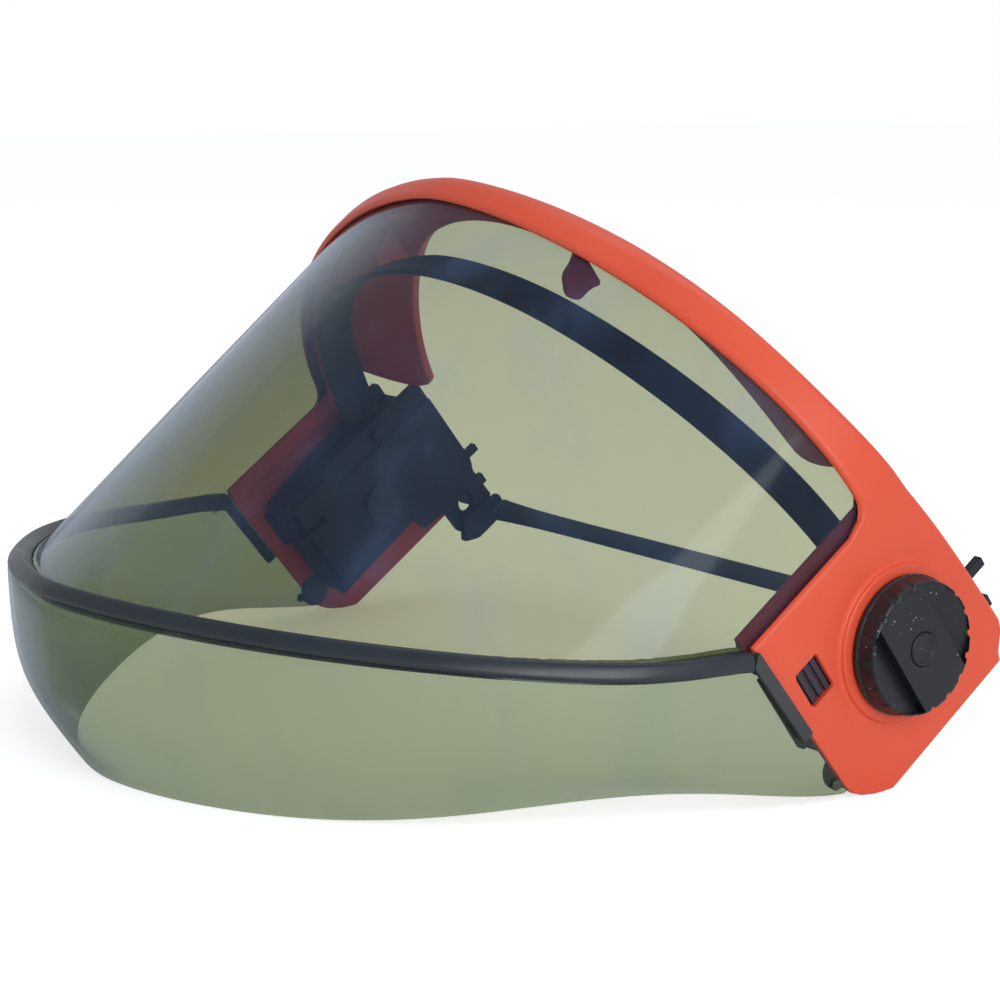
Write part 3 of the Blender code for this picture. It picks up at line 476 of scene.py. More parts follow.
def plan_point(t, plan):
    """Superellipse plan; t is 0 at the front and +-90 degrees at the sides."""
    half_width, depth, centre_y, power = plan
    sine = sin(t)
    cosine = max(cos(t), 0.0)
    x = half_width * copysign(abs(sine) ** (2.0 / power), sine)
    return Vector((x, centre_y - depth * cosine ** (2.0 / power)))


def inset_plan(t, plan, inset):
    """Plan point moved inwards along its own normal."""
    step = plan_point(t + NORMAL_STEP, plan) - plan_point(t - NORMAL_STEP, plan)
    outward = Vector((step.y, -step.x)).normalized()
    return plan_point(t, plan) - inset * outward


def shell_point(t, run, z, inset):
    """Point of the tapered shell; run is the straight distance behind the side tangent."""
    half_width = SHELL_HALF + SHELL_SIDE_TAPER * min(z - SHELL_TAPER_START_Z, 0.0)
    depth = SHELL_DEPTH + SHELL_FRONT_TAPER * z
    if run > 0.0:
        return Vector((copysign(half_width - inset, t), SHELL_Y + run, z))
    flat = inset_plan(t, (half_width, depth, SHELL_Y, SHELL_POWER), inset)
    return Vector((flat.x, flat.y, z))


def shell_angles(step=1.5):
    """Angles round the front, closer together at the sides where the shell turns into the plates."""
    count = int(round(75.0 / step))
    half = [step * i for i in range(count + 1)] + [75.0 + 1.0 * i for i in range(1, 16)]
    return [-radians(a) for a in reversed(half[1:])] + [radians(a) for a in half]


def stations(back_runs, step=1.5):
    """(t, run) pairs from the right side's back round the front to the left side's back."""
    side = pi / 2.0
    right = [(-side, run) for run in reversed(back_runs)]
    left = [(side, run) for run in back_runs]
    return right + [(t, 0.0) for t in shell_angles(step)] + left


def band_low(y):
    """Height of the band's lower edge."""
    return BAND_LOW_Z + BAND_LOW_SLOPE * y


def plate_low(y):
    """Height of the plate's straight lower edge."""
    return PLATE_LOW_Z + PLATE_LOW_SLOPE * max(0.0, y - PLATE_FRONT_Y)


def edge_point(t, inset):
    """Point of the line where the gasket's top edge meets the window."""
    z = EDGE_Z + EDGE_SLOPE * (SHELL_Y - SHELL_DEPTH * 0.5)
    lift = EDGE_LIFT * abs(sin(t)) ** EDGE_LIFT_POWER
    for _ in range(6):
        z = EDGE_Z + EDGE_SLOPE * shell_point(t, 0.0, z, 0.0).y + lift
    return shell_point(t, 0.0, z, inset)


def edge_frame(t):
    """Edge point on the window's outer face, with the outward and downward directions there."""
    point = edge_point(t, WINDOW_INSET)
    side = pi / 2.0
    along = edge_point(min(t + 0.01, side), WINDOW_INSET) - edge_point(max(t - 0.01, -side), WINDOW_INSET)
    above = shell_point(t, 0.0, point.z + 0.01, WINDOW_INSET) - shell_point(t, 0.0, point.z, WINDOW_INSET)
    outward = above.cross(along).normalized()
    if outward.x * point.x + outward.y * (point.y - SHELL_Y) < 0.0:
        outward.negate()
    down = outward.cross(along).normalized()
    if down.z > 0.0:
        down.negate()
    return point, outward, down


def frame_levels(y):
    """Heights of the plate's bottom, the opening's edge and the top at one place."""
    top = TOP_Z + TOP_RISE * max(0.0, y - TOP_RISE_START_Y)
    top -= TOP_DIP * exp(-((y - TOP_DIP_Y) / TOP_DIP_REACH) ** 2)
    top -= PLATE_TOP_CHAMFER_DROP * blend(y, PLATE_TOP_CHAMFER_Y, PLATE_BACK_Y)
    into_corner = min(max(0.0, y - (PLATE_FRONT_Y - OPENING_RADIUS)), OPENING_RADIUS)
    drop = OPENING_RADIUS - sqrt(OPENING_RADIUS ** 2 - into_corner ** 2)
    opening = band_low(min(y, PLATE_FRONT_Y)) - drop
    share = max(0.0, (y - PLATE_LOW_CHAMFER_Y) / (PLATE_BACK_Y - PLATE_LOW_CHAMFER_Y))
    bottom = plate_low(y) + PLATE_LOW_CHAMFER_RISE * share ** 2
    return bottom, opening, top


def deck_edge(t, run, inner, top):
    """Inner edge of the top deck, which narrows to a lip beside the plates."""
    lip = shell_point(t, run, top, LIP_WIDTH)
    opening = plan_point(t, DECK_PLAN)
    wide = Vector((opening.x, opening.y, top + DECK_RISE))
    share = blend(abs(t), DECK_END, LIP_START)
    reach = min(1.0, (wide - inner).length / 0.03)
    wide.z = top + DECK_RISE * reach
    return wide.lerp(lip, share)


# ======== the visor's pieces ========

def key(point):
    """Rounded place of a worn-frame point, to find it again after a cut."""
    return (round(point.x, 5), round(point.y, 5), round(point.z, 5))


def frame_section(t, run):
    """Section of the frame: outside bottom up to the top, over the deck and down the inside."""
    y = shell_point(t, run, 0.0, 0.0).y
    bottom, opening, top = frame_levels(y)
    inner = shell_point(t, run, top, WALL)
    edge = deck_edge(t, run, inner, top)
    under = Vector((edge.x, edge.y, edge.z - DECK_THICKNESS))
    upper = [shell_point(t, run, opening, 0.0), shell_point(t, run, top, 0.0), edge, under,
             shell_point(t, run, top - DECK_THICKNESS, WALL), shell_point(t, run, opening, WALL)]
    lower = [shell_point(t, run, bottom, 0.0), shell_point(t, run, bottom, WALL)]
    return upper, lower


def build_frame(material):
    """Band, top deck and side plates, with rounded edges, the stud bores and the latch holes."""
    fronts = PLATE_FRONT_Y - SHELL_Y
    ys = [PLATE_RING_START + PLATE_RING_STEP * i for i in range(PLATE_RINGS)] + [PLATE_RING_LAST, PLATE_BACK_Y]
    runs = list(CORNER_RUNS) + [fronts] + [y - SHELL_Y for y in ys]
    bm = bmesh.new()
    uppers, lowers = [], []
    top_weights, opening_keys = {}, set()
    for t, run in stations(runs):
        upper, lower = frame_section(t, run)
        front = 1.0 - blend(abs(t), *TOP_WEIGHT_SPAN)
        weight = TOP_WEIGHT_SIDE + (TOP_WEIGHT_FRONT - TOP_WEIGHT_SIDE) * front
        crest = Vector((0.0, 0.0, CREST_SHARE * FRAME_BEVEL * weight))
        upper[1] = upper[1] + crest
        upper[2] = upper[2] + crest
        top_weights[key(place(upper[1]))] = weight
        if run <= fronts:
            opening_keys.add(key(place(upper[0])))
        if abs(run - fronts) < 1e-9:
            opening_keys.add(key(place(lower[0])))
        uppers.append([bm.verts.new(point) for point in upper])
        lowers.append([bm.verts.new(point) for point in lower] if run >= fronts else None)
    join_legged(bm, uppers, lowers)
    piece = make_piece("frame_shell", bm, material, "visor", ["visor_frame"])
    start, end = SHELL_HALF - WALL - OVERCUT, SHELL_HALF + 0.006
    for _, side in SIDES:
        combine(piece, prism(side, circle(BORE_RADIUS + 0.0006, segments=48), start, end))
        hole = box_around(LATCH_Y, LATCH_Z, LATCH_LENGTH / 2.0, LATCH_WIDTH / 2.0)
        combine(piece, prism(side, rounded(hole, 0.0006, 3), start, end))
    shade_smooth(piece)
    weigh_edges(piece, top_weights, opening_keys)
    bevel = add_bevel(piece, FRAME_BEVEL, 5)
    bevel.limit_method = "WEIGHT"
    bevel.use_clamp_overlap = False


def weigh_edges(piece, top_weights, opening_keys):
    """Bevel weight of each sharp edge: widest round the top front, medium at the window opening."""
    bm = bmesh.new()
    bm.from_mesh(piece.data)
    layer = bm.edges.layers.float.new("bevel_weight_edge")
    for edge in bm.edges:
        if len(edge.link_faces) != 2 or edge.calc_face_angle(0.0) < SHARP_ANGLE:
            continue
        keys = [key(vert.co) for vert in edge.verts]
        if all(k in top_weights for k in keys):
            edge[layer] = 0.5 * (top_weights[keys[0]] + top_weights[keys[1]])
        elif all(k in opening_keys for k in keys):
            edge[layer] = OPENING_WEIGHT
        elif edge.calc_length() > SHORTEST_EDGE:
            edge[layer] = EDGE_WEIGHT
    bm.to_mesh(piece.data)
    bm.free()


def build_bosses(material):
    """Raised round seat of each knob, blended into the plate by a concave fillet."""
    sunk, face = SHELL_HALF - BOSS_SUNK, SHELL_HALF + BOSS_HEIGHT
    bore = BORE_RADIUS + BORE_EDGE
    for name, side in SIDES:
        profile = [(sunk, bore), (face - 0.0004, bore), (face, bore + 0.0004)]
        for i in range(7):
            turn = pi / 2.0 * i / 6.0
            profile.append((face - BOSS_ROUND * (1.0 - cos(turn)),
                            BOSS_RADIUS - 0.0008 + BOSS_ROUND * sin(turn)))
        for i in range(1, 8):
            turn = pi / 2.0 * i / 7.0
            profile.append((SHELL_HALF - 0.00008 + 0.0008 * (1.0 - sin(turn)),
                            BOSS_RADIUS + 0.0002 + BOSS_FILLET * (1.0 - cos(turn))))
        profile.append((sunk, BOSS_RADIUS + BOSS_FILLET))
        rings = [[Vector((side * x, y, z)) for y, z in circle(radius, segments=128)] for x, radius in profile]
        make_piece("frame_boss_" + name, sweep(rings, closed=True), material, "visor")


def build_window(material):
    """The tinted window: one curved sheet with slightly rounded edges."""
    rings = []
    laps = [WINDOW_SIDE_LAP / 3.0, WINDOW_SIDE_LAP * 2.0 / 3.0, WINDOW_SIDE_LAP]
    for t, run in stations(laps, 1.25):
        bottom = edge_point(t, WINDOW_INSET).z - WINDOW_LAP
        _, _, top = frame_levels(shell_point(t, run, 0.0, 0.0).y)
        height = top - DECK_THICKNESS - WINDOW_TOP_GAP - bottom
        levels = [bottom + height * i / WINDOW_ROWS for i in range(WINDOW_ROWS + 1)]
        outer = [shell_point(t, run, z, WINDOW_INSET) for z in levels]
        inner = [shell_point(t, run, z, WINDOW_INSET + WINDOW_THICKNESS) for z in levels]
        rings.append(outer + list(reversed(inner)))
    piece = make_piece("window_sheet", sweep(rings, folded=True), material, "visor", ["window"])
    add_bevel(piece, 0.0003, 2, 60.0)


def build_retainer(material):
    """Inner strip along the band, with a leg down each plate that clamps the window's end."""
    bm = bmesh.new()
    back = RETAINER_INSET + RETAINER_THICKNESS
    uppers, lowers = [], []
    for t, run in stations(RETAINER_RUNS, 2.0):
        _, opening, top = frame_levels(shell_point(t, run, 0.0, 0.0).y)
        low, high = opening + RETAINER_HIDE, top - DECK_THICKNESS - 2.0 * GAP
        corners = ((low, RETAINER_INSET), (high, RETAINER_INSET), (high, back), (low, back))
        uppers.append([bm.verts.new(shell_point(t, run, z, inset)) for z, inset in corners])
        feet = None
        if run >= RETAINER_LEG_START:
            feet = [bm.verts.new(shell_point(t, run, RETAINER_FOOT_Z, inset))
                    for inset in (RETAINER_INSET, back)]
        lowers.append(feet)
    join_legged(bm, uppers, lowers)
    make_piece("retainer_strip", bm, material, "visor", ["window_retainer"], 0.0006)


def front_flare(t):
    """How much further the chin cup stands off the window at the front."""
    return GASKET_FRONT_FLARE * cos(t) ** 2


def gasket_section(flare):
    """(outward, down) outline of the gasket: a rounded bead with a slot for the chin cup's rim."""
    slot_in = CHIN_FACE - CHIN_THICKNESS - GAP + flare
    slot_out = CHIN_FACE + GAP + flare
    face = slot_out + GASKET_LIP
    outline = [(GAP, GASKET_HEIGHT - GASKET_TOE), (slot_in, GASKET_HEIGHT), (slot_in, SLOT_TOP),
               (slot_out, SLOT_TOP), (slot_out, GASKET_HEIGHT)]
    middle = (GASKET_HEIGHT + 0.0002) * 0.5
    for i in range(GASKET_CROWN_STEPS + 1):
        turn = pi * i / GASKET_CROWN_STEPS
        bulge = sin(turn) ** GASKET_CROWN_POWER
        outline.append((slot_out + GASKET_CROWN_START + (face - slot_out - GASKET_CROWN_START) * bulge,
                        middle + (GASKET_HEIGHT - 0.0001 - middle) * cos(turn)))
    outline += [(face - GASKET_BACK, 0.0), (0.0012, -0.0001), (GAP, 0.0008)]
    return outline


def edge_ring(t, section, run=0.0):
    """Section set on the window's edge line; past the sides it runs straight on towards the plate."""
    point, outward, down = edge_frame(t)
    return [point + outward * n + down * h + run * EDGE_LINE for n, h in section]


def edge_places(step):
    """(t, run) pairs along the edge line, with short straight ends that reach the plates."""
    runs = [END_RUN * i / END_STEPS for i in range(1, END_STEPS + 1)]
    angles = shell_angles(step)
    return ([(angles[0], run) for run in reversed(runs)] + [(t, 0.0) for t in angles]
            + [(angles[-1], run) for run in runs])


def build_gasket(material):
    """Black edge strip between the window and the chin cup."""
    rings = [edge_ring(t, gasket_section(front_flare(t)), run) for t, run in edge_places(1.25)]
    piece = make_piece("gasket_bead", sweep(rings), material, "visor", ["edge_gasket"])
    add_bevel(piece, 0.0002, 2, 60.0)


def build_glue_line(material):
    """Thin uneven line of clear adhesive where the gasket meets the window."""
    rings = []
    for t, run in edge_places(0.75):
        wobble = noise.noise(Vector((t * 60.0, 3.1, 0.0)))
        height = 0.0013 + 0.0004 * wobble
        swell = 0.0006 + 0.00025 * noise.noise(Vector((t * 95.0, 8.7, 0.0)))
        outline = [(0.00005, 0.0003), (0.00005, -height), (swell * 0.6, -height * 0.75),
                   (swell, -height * 0.3),
                   (swell * 1.15, 0.0003)]
        rings.append(edge_ring(t, outline, run))
    make_piece("glue_line", sweep(rings), material, "visor")


def chin_rim(t):
    """Bottom rim of the chin cup in the level frame."""
    flat = plan_point(t, CHIN_RIM_PLAN)
    rise = sin(t) ** 2
    z = CHIN_RIM_Z + CHIN_RIM_END_LIFT * rise ** 2
    z += CHIN_RIM_SIDE_LIFT * rise ** 3 * sin(2.0 * t) ** 2
    return Vector((flat.x, flat.y, z))


def plate_column(t):
    """Top edge of the chin cup's side, straight along the plate's lower edge."""
    point, outward, _ = edge_frame(t)
    x = (point + outward * CHIN_FACE).x
    y_start, y_end = PLATE_FRONT_Y + 0.002, TAB_Y + TAB_RADIUS
    start = Vector((x, y_start, plate_low(y_start) - CHIN_PLATE_GAP))
    end = Vector((x, y_end, plate_low(y_end) - CHIN_PLATE_GAP))
    return [start.lerp(end, i / (CHIN_ROWS + 1)) for i in range(CHIN_ROWS + 2)]


def chin_column(t):
    """One line down the chin cup's outer face: slot rim, upright wall, rounded crease and bowl."""
    point, outward, down = edge_frame(t)
    rim = point + outward * (CHIN_FACE + front_flare(t)) + down * CHIN_TOP
    if abs(t) > CHIN_END:
        rim += (END_RUN + 2.0 * GAP) * EDGE_LINE
    upright = cos(t) ** CHIN_CREASE_POWER
    start = rim + down * (GASKET_HEIGHT + 4.0 * GAP - CHIN_TOP)
    top = Vector((start.x, *turned(start, LEAN)))
    low = chin_rim(max(-CHIN_END, min(CHIN_END, t)))
    dropped = Vector((top.x, top.y, top.z - CHIN_DROP))
    crease = top.lerp(low, 0.5).lerp(dropped, upright)
    line = []
    for i in range(CHIN_ROWS + 1):
        share = i / CHIN_ROWS
        parts = ((1.0 - share) ** 2, 2.0 * CHIN_CREASE_WEIGHT * share * (1.0 - share), share ** 2)
        point = (top * parts[0] + crease * parts[1] + low * parts[2]) / sum(parts)
        line.append(Vector((point.x, *turned(point, -LEAN))))
    return [rim] + line


def chin_inner_columns(columns, angles):
    """Inner face: straight behind the rim's slot, then along the surface's own normals."""
    inner = []
    for i, column in enumerate(columns):
        _, outward, _ = edge_frame(angles[i])
        before = columns[max(i - 1, 0)]
        after = columns[min(i + 1, len(columns) - 1)]
        line = []
        for j, point in enumerate(column):
            across = after[j] - before[j]
            along = column[min(j + 1, len(column) - 1)] - column[max(j - 1, 0)]
            normal = along.cross(across).normalized()
            if normal.dot(outward) < 0.0:
                normal.negate()
            if j < 2 or abs(angles[i]) > CHIN_END:
                normal = outward
            line.append(point - normal * CHIN_THICKNESS)
        inner.append(line)
    return inner


def build_chin(material):
    """The green chin cup, a formed sheet that ends along the plates' lower edges."""
    angles = shell_angles(1.5)
    first, last = angles[0], angles[-1]
    outer = [plate_column(first)] + [chin_column(t) for t in angles] + [plate_column(last)]
    angles = [first] + angles + [last]
    inner = chin_inner_columns(outer, angles)
    rings = [front + list(reversed(back)) for front, back in zip(outer, inner)]
    piece = make_piece("chin_bowl", sweep(rings, folded=True), material, "visor", ["chin_cup"])
    add_bevel(piece, 0.0004, 2, 60.0)


def build_side_trim(rubber, green):
    """Square-ended strip under each plate, and the riveted tab behind each rear corner of the chin cup."""
    y_start = PLATE_FRONT_Y + STRIP_LEAD
    strip = rounded([(y_start, plate_low(y_start) + 0.0002), (STRIP_END_Y, plate_low(STRIP_END_Y) + 0.0002),
                     (STRIP_END_Y, plate_low(STRIP_END_Y) - STRIP_WIDTH),
                     (y_start + 0.003, plate_low(y_start) - STRIP_WIDTH)], 0.0007)
    outside = SHELL_HALF + GAP
    tab_out = SHELL_HALF - WALL - GAP
    disc = circle(TAB_RADIUS, (TAB_Y, TAB_Z))
    profile = dome_profile(outside, RIVET_HEAD, RIVET_RADIUS, RIVET_FOOT, 5)
    for name, side in SIDES:
        make_piece("edge_strip_" + name, prism(side, strip, outside, outside + STRIP_THICKNESS),
                   rubber, "visor", ["gasket_end_" + name], 0.0004)
        make_piece("tab_disc_" + name, prism(side, disc, tab_out, tab_out - TAB_THICKNESS),
                   green, "visor", ["corner_tab_" + name], 0.0003, 2)
        make_piece("tab_rivet_" + name, lathe(profile, side, (TAB_Y, RIVET_Z), 40),
                   green, "visor", ["corner_rivet_" + name])


def build_clips(material):
    """Hooks under the deck that hold the window's top edge near the front."""
    outline = rounded(CLIP_OUTLINE, 0.0022)
    for name, side in SIDES:
        make_piece("clip_hook_" + name, prism(side, outline, CLIP_X, CLIP_X + CLIP_THICKNESS),
                   material, "visor", ["window_clip_" + name], 0.0005)


def build_latches(material):
    """Ridged release button in the square opening of each plate."""
    half_length = LATCH_LENGTH / 2.0 - LATCH_PLAY
    half_width = LATCH_WIDTH / 2.0 - LATCH_PLAY
    inside = SHELL_HALF - WALL - GAP
    key_face = rounded(box_around(LATCH_Y, LATCH_Z, half_length, half_width), 0.0006, 3)
    flange = box_around(LATCH_Y, LATCH_Z, half_length + LATCH_FLANGE_RIM, half_width + LATCH_FLANGE_RIM)
    for name, side in SIDES:
        piece = make_piece("latch_key_" + name, prism(side, key_face, inside - LAP, LATCH_FACE_X),
                           material, "latch_" + name, ["latch_button_" + name])
        combine(piece, prism(side, flange, inside - LATCH_FLANGE, inside), "UNION")
        for i in range(LATCH_GROOVES):
            z = LATCH_Z + half_width * (2.0 * i / (LATCH_GROOVES - 1) - 1.0)
            groove = box_around(LATCH_Y, z, half_length + LAP, GROOVE_HALF_WIDTH)
            combine(piece, prism(side, groove, LATCH_FACE_X - GROOVE_DEPTH, LATCH_FACE_X + LAP))
        add_bevel(piece, 0.00025, 2)


# ======== the hat adapter's pieces ========

def build_carriers(material):
    """Black moulded carriers that join the brow strap, the hinge studs and the rear strap."""
    face, back = CARRIER_FACE_X, CARRIER_BACK_X
    through = (face - OVERCUT, face + 2.0 * OVERCUT)
    y_low, y_high, z_low, z_high = CARRIER_BOX
    pocket = rectangle(y_low + CARRIER_SKIN, y_high - CARRIER_SKIN,
                       z_low + CARRIER_SKIN, z_high - CARRIER_SKIN)
    joined = [
        (rounded(rectangle(*CARRIER_BOX), 0.0015, 3), face + LAP, back),
        (rounded(rectangle(*PAD_BOX), 0.0012, 3), PAD_FACE_X, face + LAP),
        (rounded(FLANGE_OUTLINE, 0.0012, 3), *FLANGE_SPAN_X)]
    cut = [
        (rounded(pocket, 0.0015, 3), face + CARRIER_SKIN, back + OVERCUT),
        (circle(BORE_RADIUS, segments=48), *through),
        (circle(EYE_RADIUS, (EYE_Y, EYE_Z), 40), *through),
        (rectangle(*SLOT_BOX), PAD_FACE_X - 0.5 * OVERCUT, back + OVERCUT),
        (rectangle(*STEP_BOX), face - OVERCUT, face + STEP_DEPTH)]
    posts = []
    for y_low, y_high, z_low, z_high in POST_BOXES:
        posts.append((rectangle(y_low, y_high, z_low, z_low + POST_FOOT), face + LAP, POST_SPAN_X[1]))
        posts.append((rectangle(y_low, y_high, z_low, z_high), *POST_SPAN_X))
    outline = rounded(CARRIER_OUTLINE, 0.0012, 3)
    for name, side in SIDES:
        piece = make_piece("carrier_body_" + name, prism(side, outline, face, face + CARRIER_SKIN),
                           material, "hat_adapter", ["carrier_" + name])
        for shapes, operation in ((joined, "UNION"), (cut, "DIFFERENCE"), (posts, "UNION")):
            for shape in shapes:
                combine(piece, prism(side, *shape), operation)
        add_bevel(piece, 0.0004, 3)


def strap_rise(t):
    """How much higher the brow strap sits towards its right end."""
    near = STRAP_NEAR_RISE * blend(t, -STRAP_NEAR_SPAN, STRAP_NEAR_SPAN)
    return near + STRAP_FAR_RISE * blend(-t, STRAP_RISE_START, STRAP_RISE_END)


def build_brow_strap(material, plastic):
    """Flexible strap round the hat's brim, with a raised border along both edges."""
    low, high = STRAP_LOW_Z, STRAP_HIGH_Z
    border, sink = STRAP_BORDER, STRAP_SINK
    section = [(low, STRAP_ROUND), (low + STRAP_ROUND, 0.0), (low + border, 0.0),
               (low + border + sink, sink), (high - border - sink, sink), (high - border, 0.0),
               (high - STRAP_ROUND, 0.0), (high, STRAP_ROUND)]
    section += [(z, STRAP_THICKNESS - inset) for z, inset in reversed(section)]
    rings = []
    for i in range(STRAP_STEPS + 1):
        t = STRAP_END * (2.0 * i / STRAP_STEPS - 1.0)
        rise = strap_rise(t)
        ring = []
        for z, inset in section:
            lean = STRAP_TILT * (z - low) / (high - low)
            flat = inset_plan(t, STRAP_PLAN, inset + lean)
            ring.append(Vector((flat.x, flat.y, z + rise)))
        rings.append(ring)
    make_piece("brow_band", sweep(rings), material, "hat_adapter", ["brow_strap"])
    profile = dome_profile(CARRIER_FACE_X - GAP, -STRAP_RIVET_HEAD, STRAP_RIVET_RADIUS,
                           STRAP_RIVET_FOOT, 6)
    for name, side in SIDES:
        centre = (STRAP_RIVET_Y, STRAP_RIVET_Z + strap_rise(side * STRAP_END))
        make_piece("band_rivet_" + name, lathe(profile, side, centre, 48),
                   plastic, "hat_adapter", ["strap_rivet_" + name])


def build_rear_strap(material, plastic):
    """Elastic strap across the back, with a hook at each end."""
    half = CARRIER_FACE_X - 2.0 * GAP - HOOK_THICKNESS
    rings = []
    for i in range(STRAP_STEPS + 1):
        x = half * (2.0 * i / STRAP_STEPS - 1.0)
        height = REAR_STRAP_WIDTH * (0.5 + 0.22 * abs(x / half) ** 6)
        rings.append([Vector((x, REAR_STRAP_Y + across, REAR_STRAP_Z + along * height))
                      for across, along in REAR_STRAP_SECTION])
    make_piece("rear_band", sweep(rings), material, "hat_adapter", ["rear_strap"])
    hook = rounded(HOOK_OUTLINE, 0.0016)
    outer = CARRIER_FACE_X - GAP
    for name, side in SIDES:
        make_piece("band_hook_" + name, prism(side, hook, outer, outer - HOOK_THICKNESS),
                   plastic, "hat_adapter", ["strap_hook_" + name], 0.0005)


# ======== knobs ========

def knob_body(side):
    """Round body: flange, tapered side wall and a notched rim."""
    segments = KNOB_NOTCHES * NOTCH_SEGMENTS
    profile = [(KNOB_BASE_X + rise, KNOB_RADIUS + swell, 0.0) for rise, swell in KNOB_FOOT_PROFILE]
    profile += [(KNOB_TOP_X + rise, KNOB_RADIUS + swell, depth) for rise, swell, depth in KNOB_RIM_PROFILE]
    rings = []
    for x, radius, depth in profile:
        ring = []
        for i in range(segments):
            turn = 2.0 * pi * i / segments
            notch = blend(cos(turn * KNOB_NOTCHES), *NOTCH_FLANKS)
            reach = radius - NOTCH_DEPTH * notch * depth
            ring.append(Vector((side * x, reach * cos(turn), reach * sin(turn))))
        rings.append(ring)
    return sweep(rings)


def wedge_tool(side, up):
    """Ramp that is deepest beside the grip bar and rises to the rim, kept inside the notched rim."""
    steps = 28
    limit = acos(GRIP_HALF_WIDTH / WEDGE_REACH)
    slope = (WEDGE_DEEP - WEDGE_SHALLOW) / (WEDGE_REACH - GRIP_HALF_WIDTH)
    low, high = [], []
    for i in range(steps + 1):
        turn = pi / 2.0 - limit + 2.0 * limit * i / steps
        y, z = WEDGE_REACH * cos(turn), WEDGE_REACH * sin(turn)
        depth = WEDGE_DEEP - slope * (z - GRIP_HALF_WIDTH)
        low.append(Vector((side * (KNOB_TOP_X - depth), y, up * z)))
        high.append(Vector((side * (KNOB_TOP_X + 0.5 * OVERCUT), y, up * z)))
    return sweep([low, high])


def build_knobs(material):
    """Big clamping knobs, each turning on its own stud, with a round cap in the middle."""
    bore, seat = circle(BORE_RADIUS, segments=48), circle(CAP_RADIUS + GAP)
    profile = [(KNOB_TOP_X + rise, radius) for rise, radius in CAP_PROFILE]
    for name, side in SIDES:
        body = "knob_%s_turn" % name
        piece = make_piece("knob_grip_" + name, knob_body(side), material, body,
                           ["knob_" + name])
        for up in (1.0, -1.0):
            combine(piece, wedge_tool(side, up))
        combine(piece, prism(side, bore, KNOB_BASE_X - 0.5 * OVERCUT, STUD_END_X + GAP))
        combine(piece, prism(side, seat, KNOB_TOP_X - CAP_DEPTH - GAP, KNOB_TOP_X + 0.5 * OVERCUT))
        shade_smooth(piece)
        add_bevel(piece, 0.00035, 3, 38.0)
        make_piece("knob_button_" + name, lathe(profile, side), material, body,
                   ["knob_cap_" + name])


# ======== materials ========

class Shade:
    """A node material being put together."""

    def __init__(self, name):
        self.material = bpy.data.materials.new(name)
        self.material.use_nodes = True
        self.nodes = self.material.node_tree.nodes
        self.link = self.material.node_tree.links.new
        self.nodes.clear()
        self.surface = self.nodes.new("ShaderNodeOutputMaterial").inputs["Surface"]
        self.spot = self.add("TexCoord").outputs["Object"]

    def add(self, kind, **values):
        """New node; set_ names are its own settings, the others are inputs."""
        node = self.nodes.new("ShaderNode" + kind)
        for label, value in values.items():
            if label.startswith("set_"):
                setattr(node, label[4:], value)
            else:
                node.inputs[label.replace("_", " ")].default_value = value
        return node

    def noise(self, scale, detail):
        """Grey noise that stays with the object."""
        texture = self.add("TexNoise", Scale=scale, Detail=detail)
        self.link(self.spot, texture.inputs["Vector"])
        return texture.outputs["Fac"]

    def product(self, first, second):
        """Product of two grey values."""
        node = self.add("Math", set_operation="MULTIPLY")
        self.link(first, node.inputs[0])
        self.link(second, node.inputs[1])
        return node.outputs["Value"]

    def mixed(self, factor, first, second):
        """Blend of two shaders."""
        node = self.add("MixShader")
        self.link(factor, node.inputs["Fac"])
        self.link(first, node.inputs[1])
        self.link(second, node.inputs[2])
        return node.outputs["Shader"]

    def bumped(self, height, strength, distance):
        """Surface normal raised by a grey value."""
        bump = self.add("Bump", Strength=strength, Distance=distance)
        self.link(height, bump.inputs["Height"])
        return bump.outputs["Normal"]

    def ramp(self, source, stops):
        """Colour ramp over a grey value; stops are (position, colour)."""
        node = self.add("ValToRGB")
        elements = node.color_ramp.elements
        elements[0].position, elements[0].color = stops[0]
        elements[1].position, elements[1].color = stops[-1]
        for position, colour in stops[1:-1]:
            elements.new(position).color = colour
        self.link(source, node.inputs["Fac"])
        return node.outputs["Color"]


def grey(value):
    """An opaque grey."""
    return (value, value, value, 1.0)


def moulded_plastic(name, base, darker, roughness, spread, scale=900.0, strength=0.12, speck=None):
    """Moulded plastic: slight colour drift, fine satin grain, uneven gloss and, if asked, dust specks."""
    shade = Shade(name)
    add, link = shade.add, shade.link
    shader = add("BsdfPrincipled")
    drift = shade.noise(14.0, 4.0)
    colour = shade.ramp(drift, [(0.35, (*darker, 1.0)), (0.62, (*base, 1.0))])
    gloss = shade.noise(55.0, 5.0)
    rough = shade.ramp(gloss, [(0.30, grey(roughness - spread)), (0.70, grey(roughness + spread))])
    link(rough, shader.inputs["Roughness"])
    link(shade.bumped(shade.noise(scale, 3.0), strength, 0.0002), shader.inputs["Normal"])
    if speck is not None:
        density, radius, dust_and_painted_reflection = speck
        dots = add("TexVoronoi", Scale=density, Randomness=1.0)
        link(shade.spot, dots.inputs["Vector"])
        near = shade.ramp(dots.outputs["Distance"], [(radius * 0.6, grey(1.0)), (radius, grey(0.0))])
        pick = shade.noise(150.0, 2.0)
        patch = shade.ramp(pick, [(0.56, grey(0.0)), (0.66, grey(1.0))])
        mix = add("Mix", set_data_type="RGBA")
        link(shade.product(near, patch), mix.inputs["Factor"])
        mix.inputs[MIX_B].default_value = dust_and_painted_reflection
        link(colour, mix.inputs[MIX_A])
        colour = mix.outputs[MIX_OUT]
    link(colour, shader.inputs["Base Color"])
    link(shader.outputs["BSDF"], shade.surface)
    return shade.material


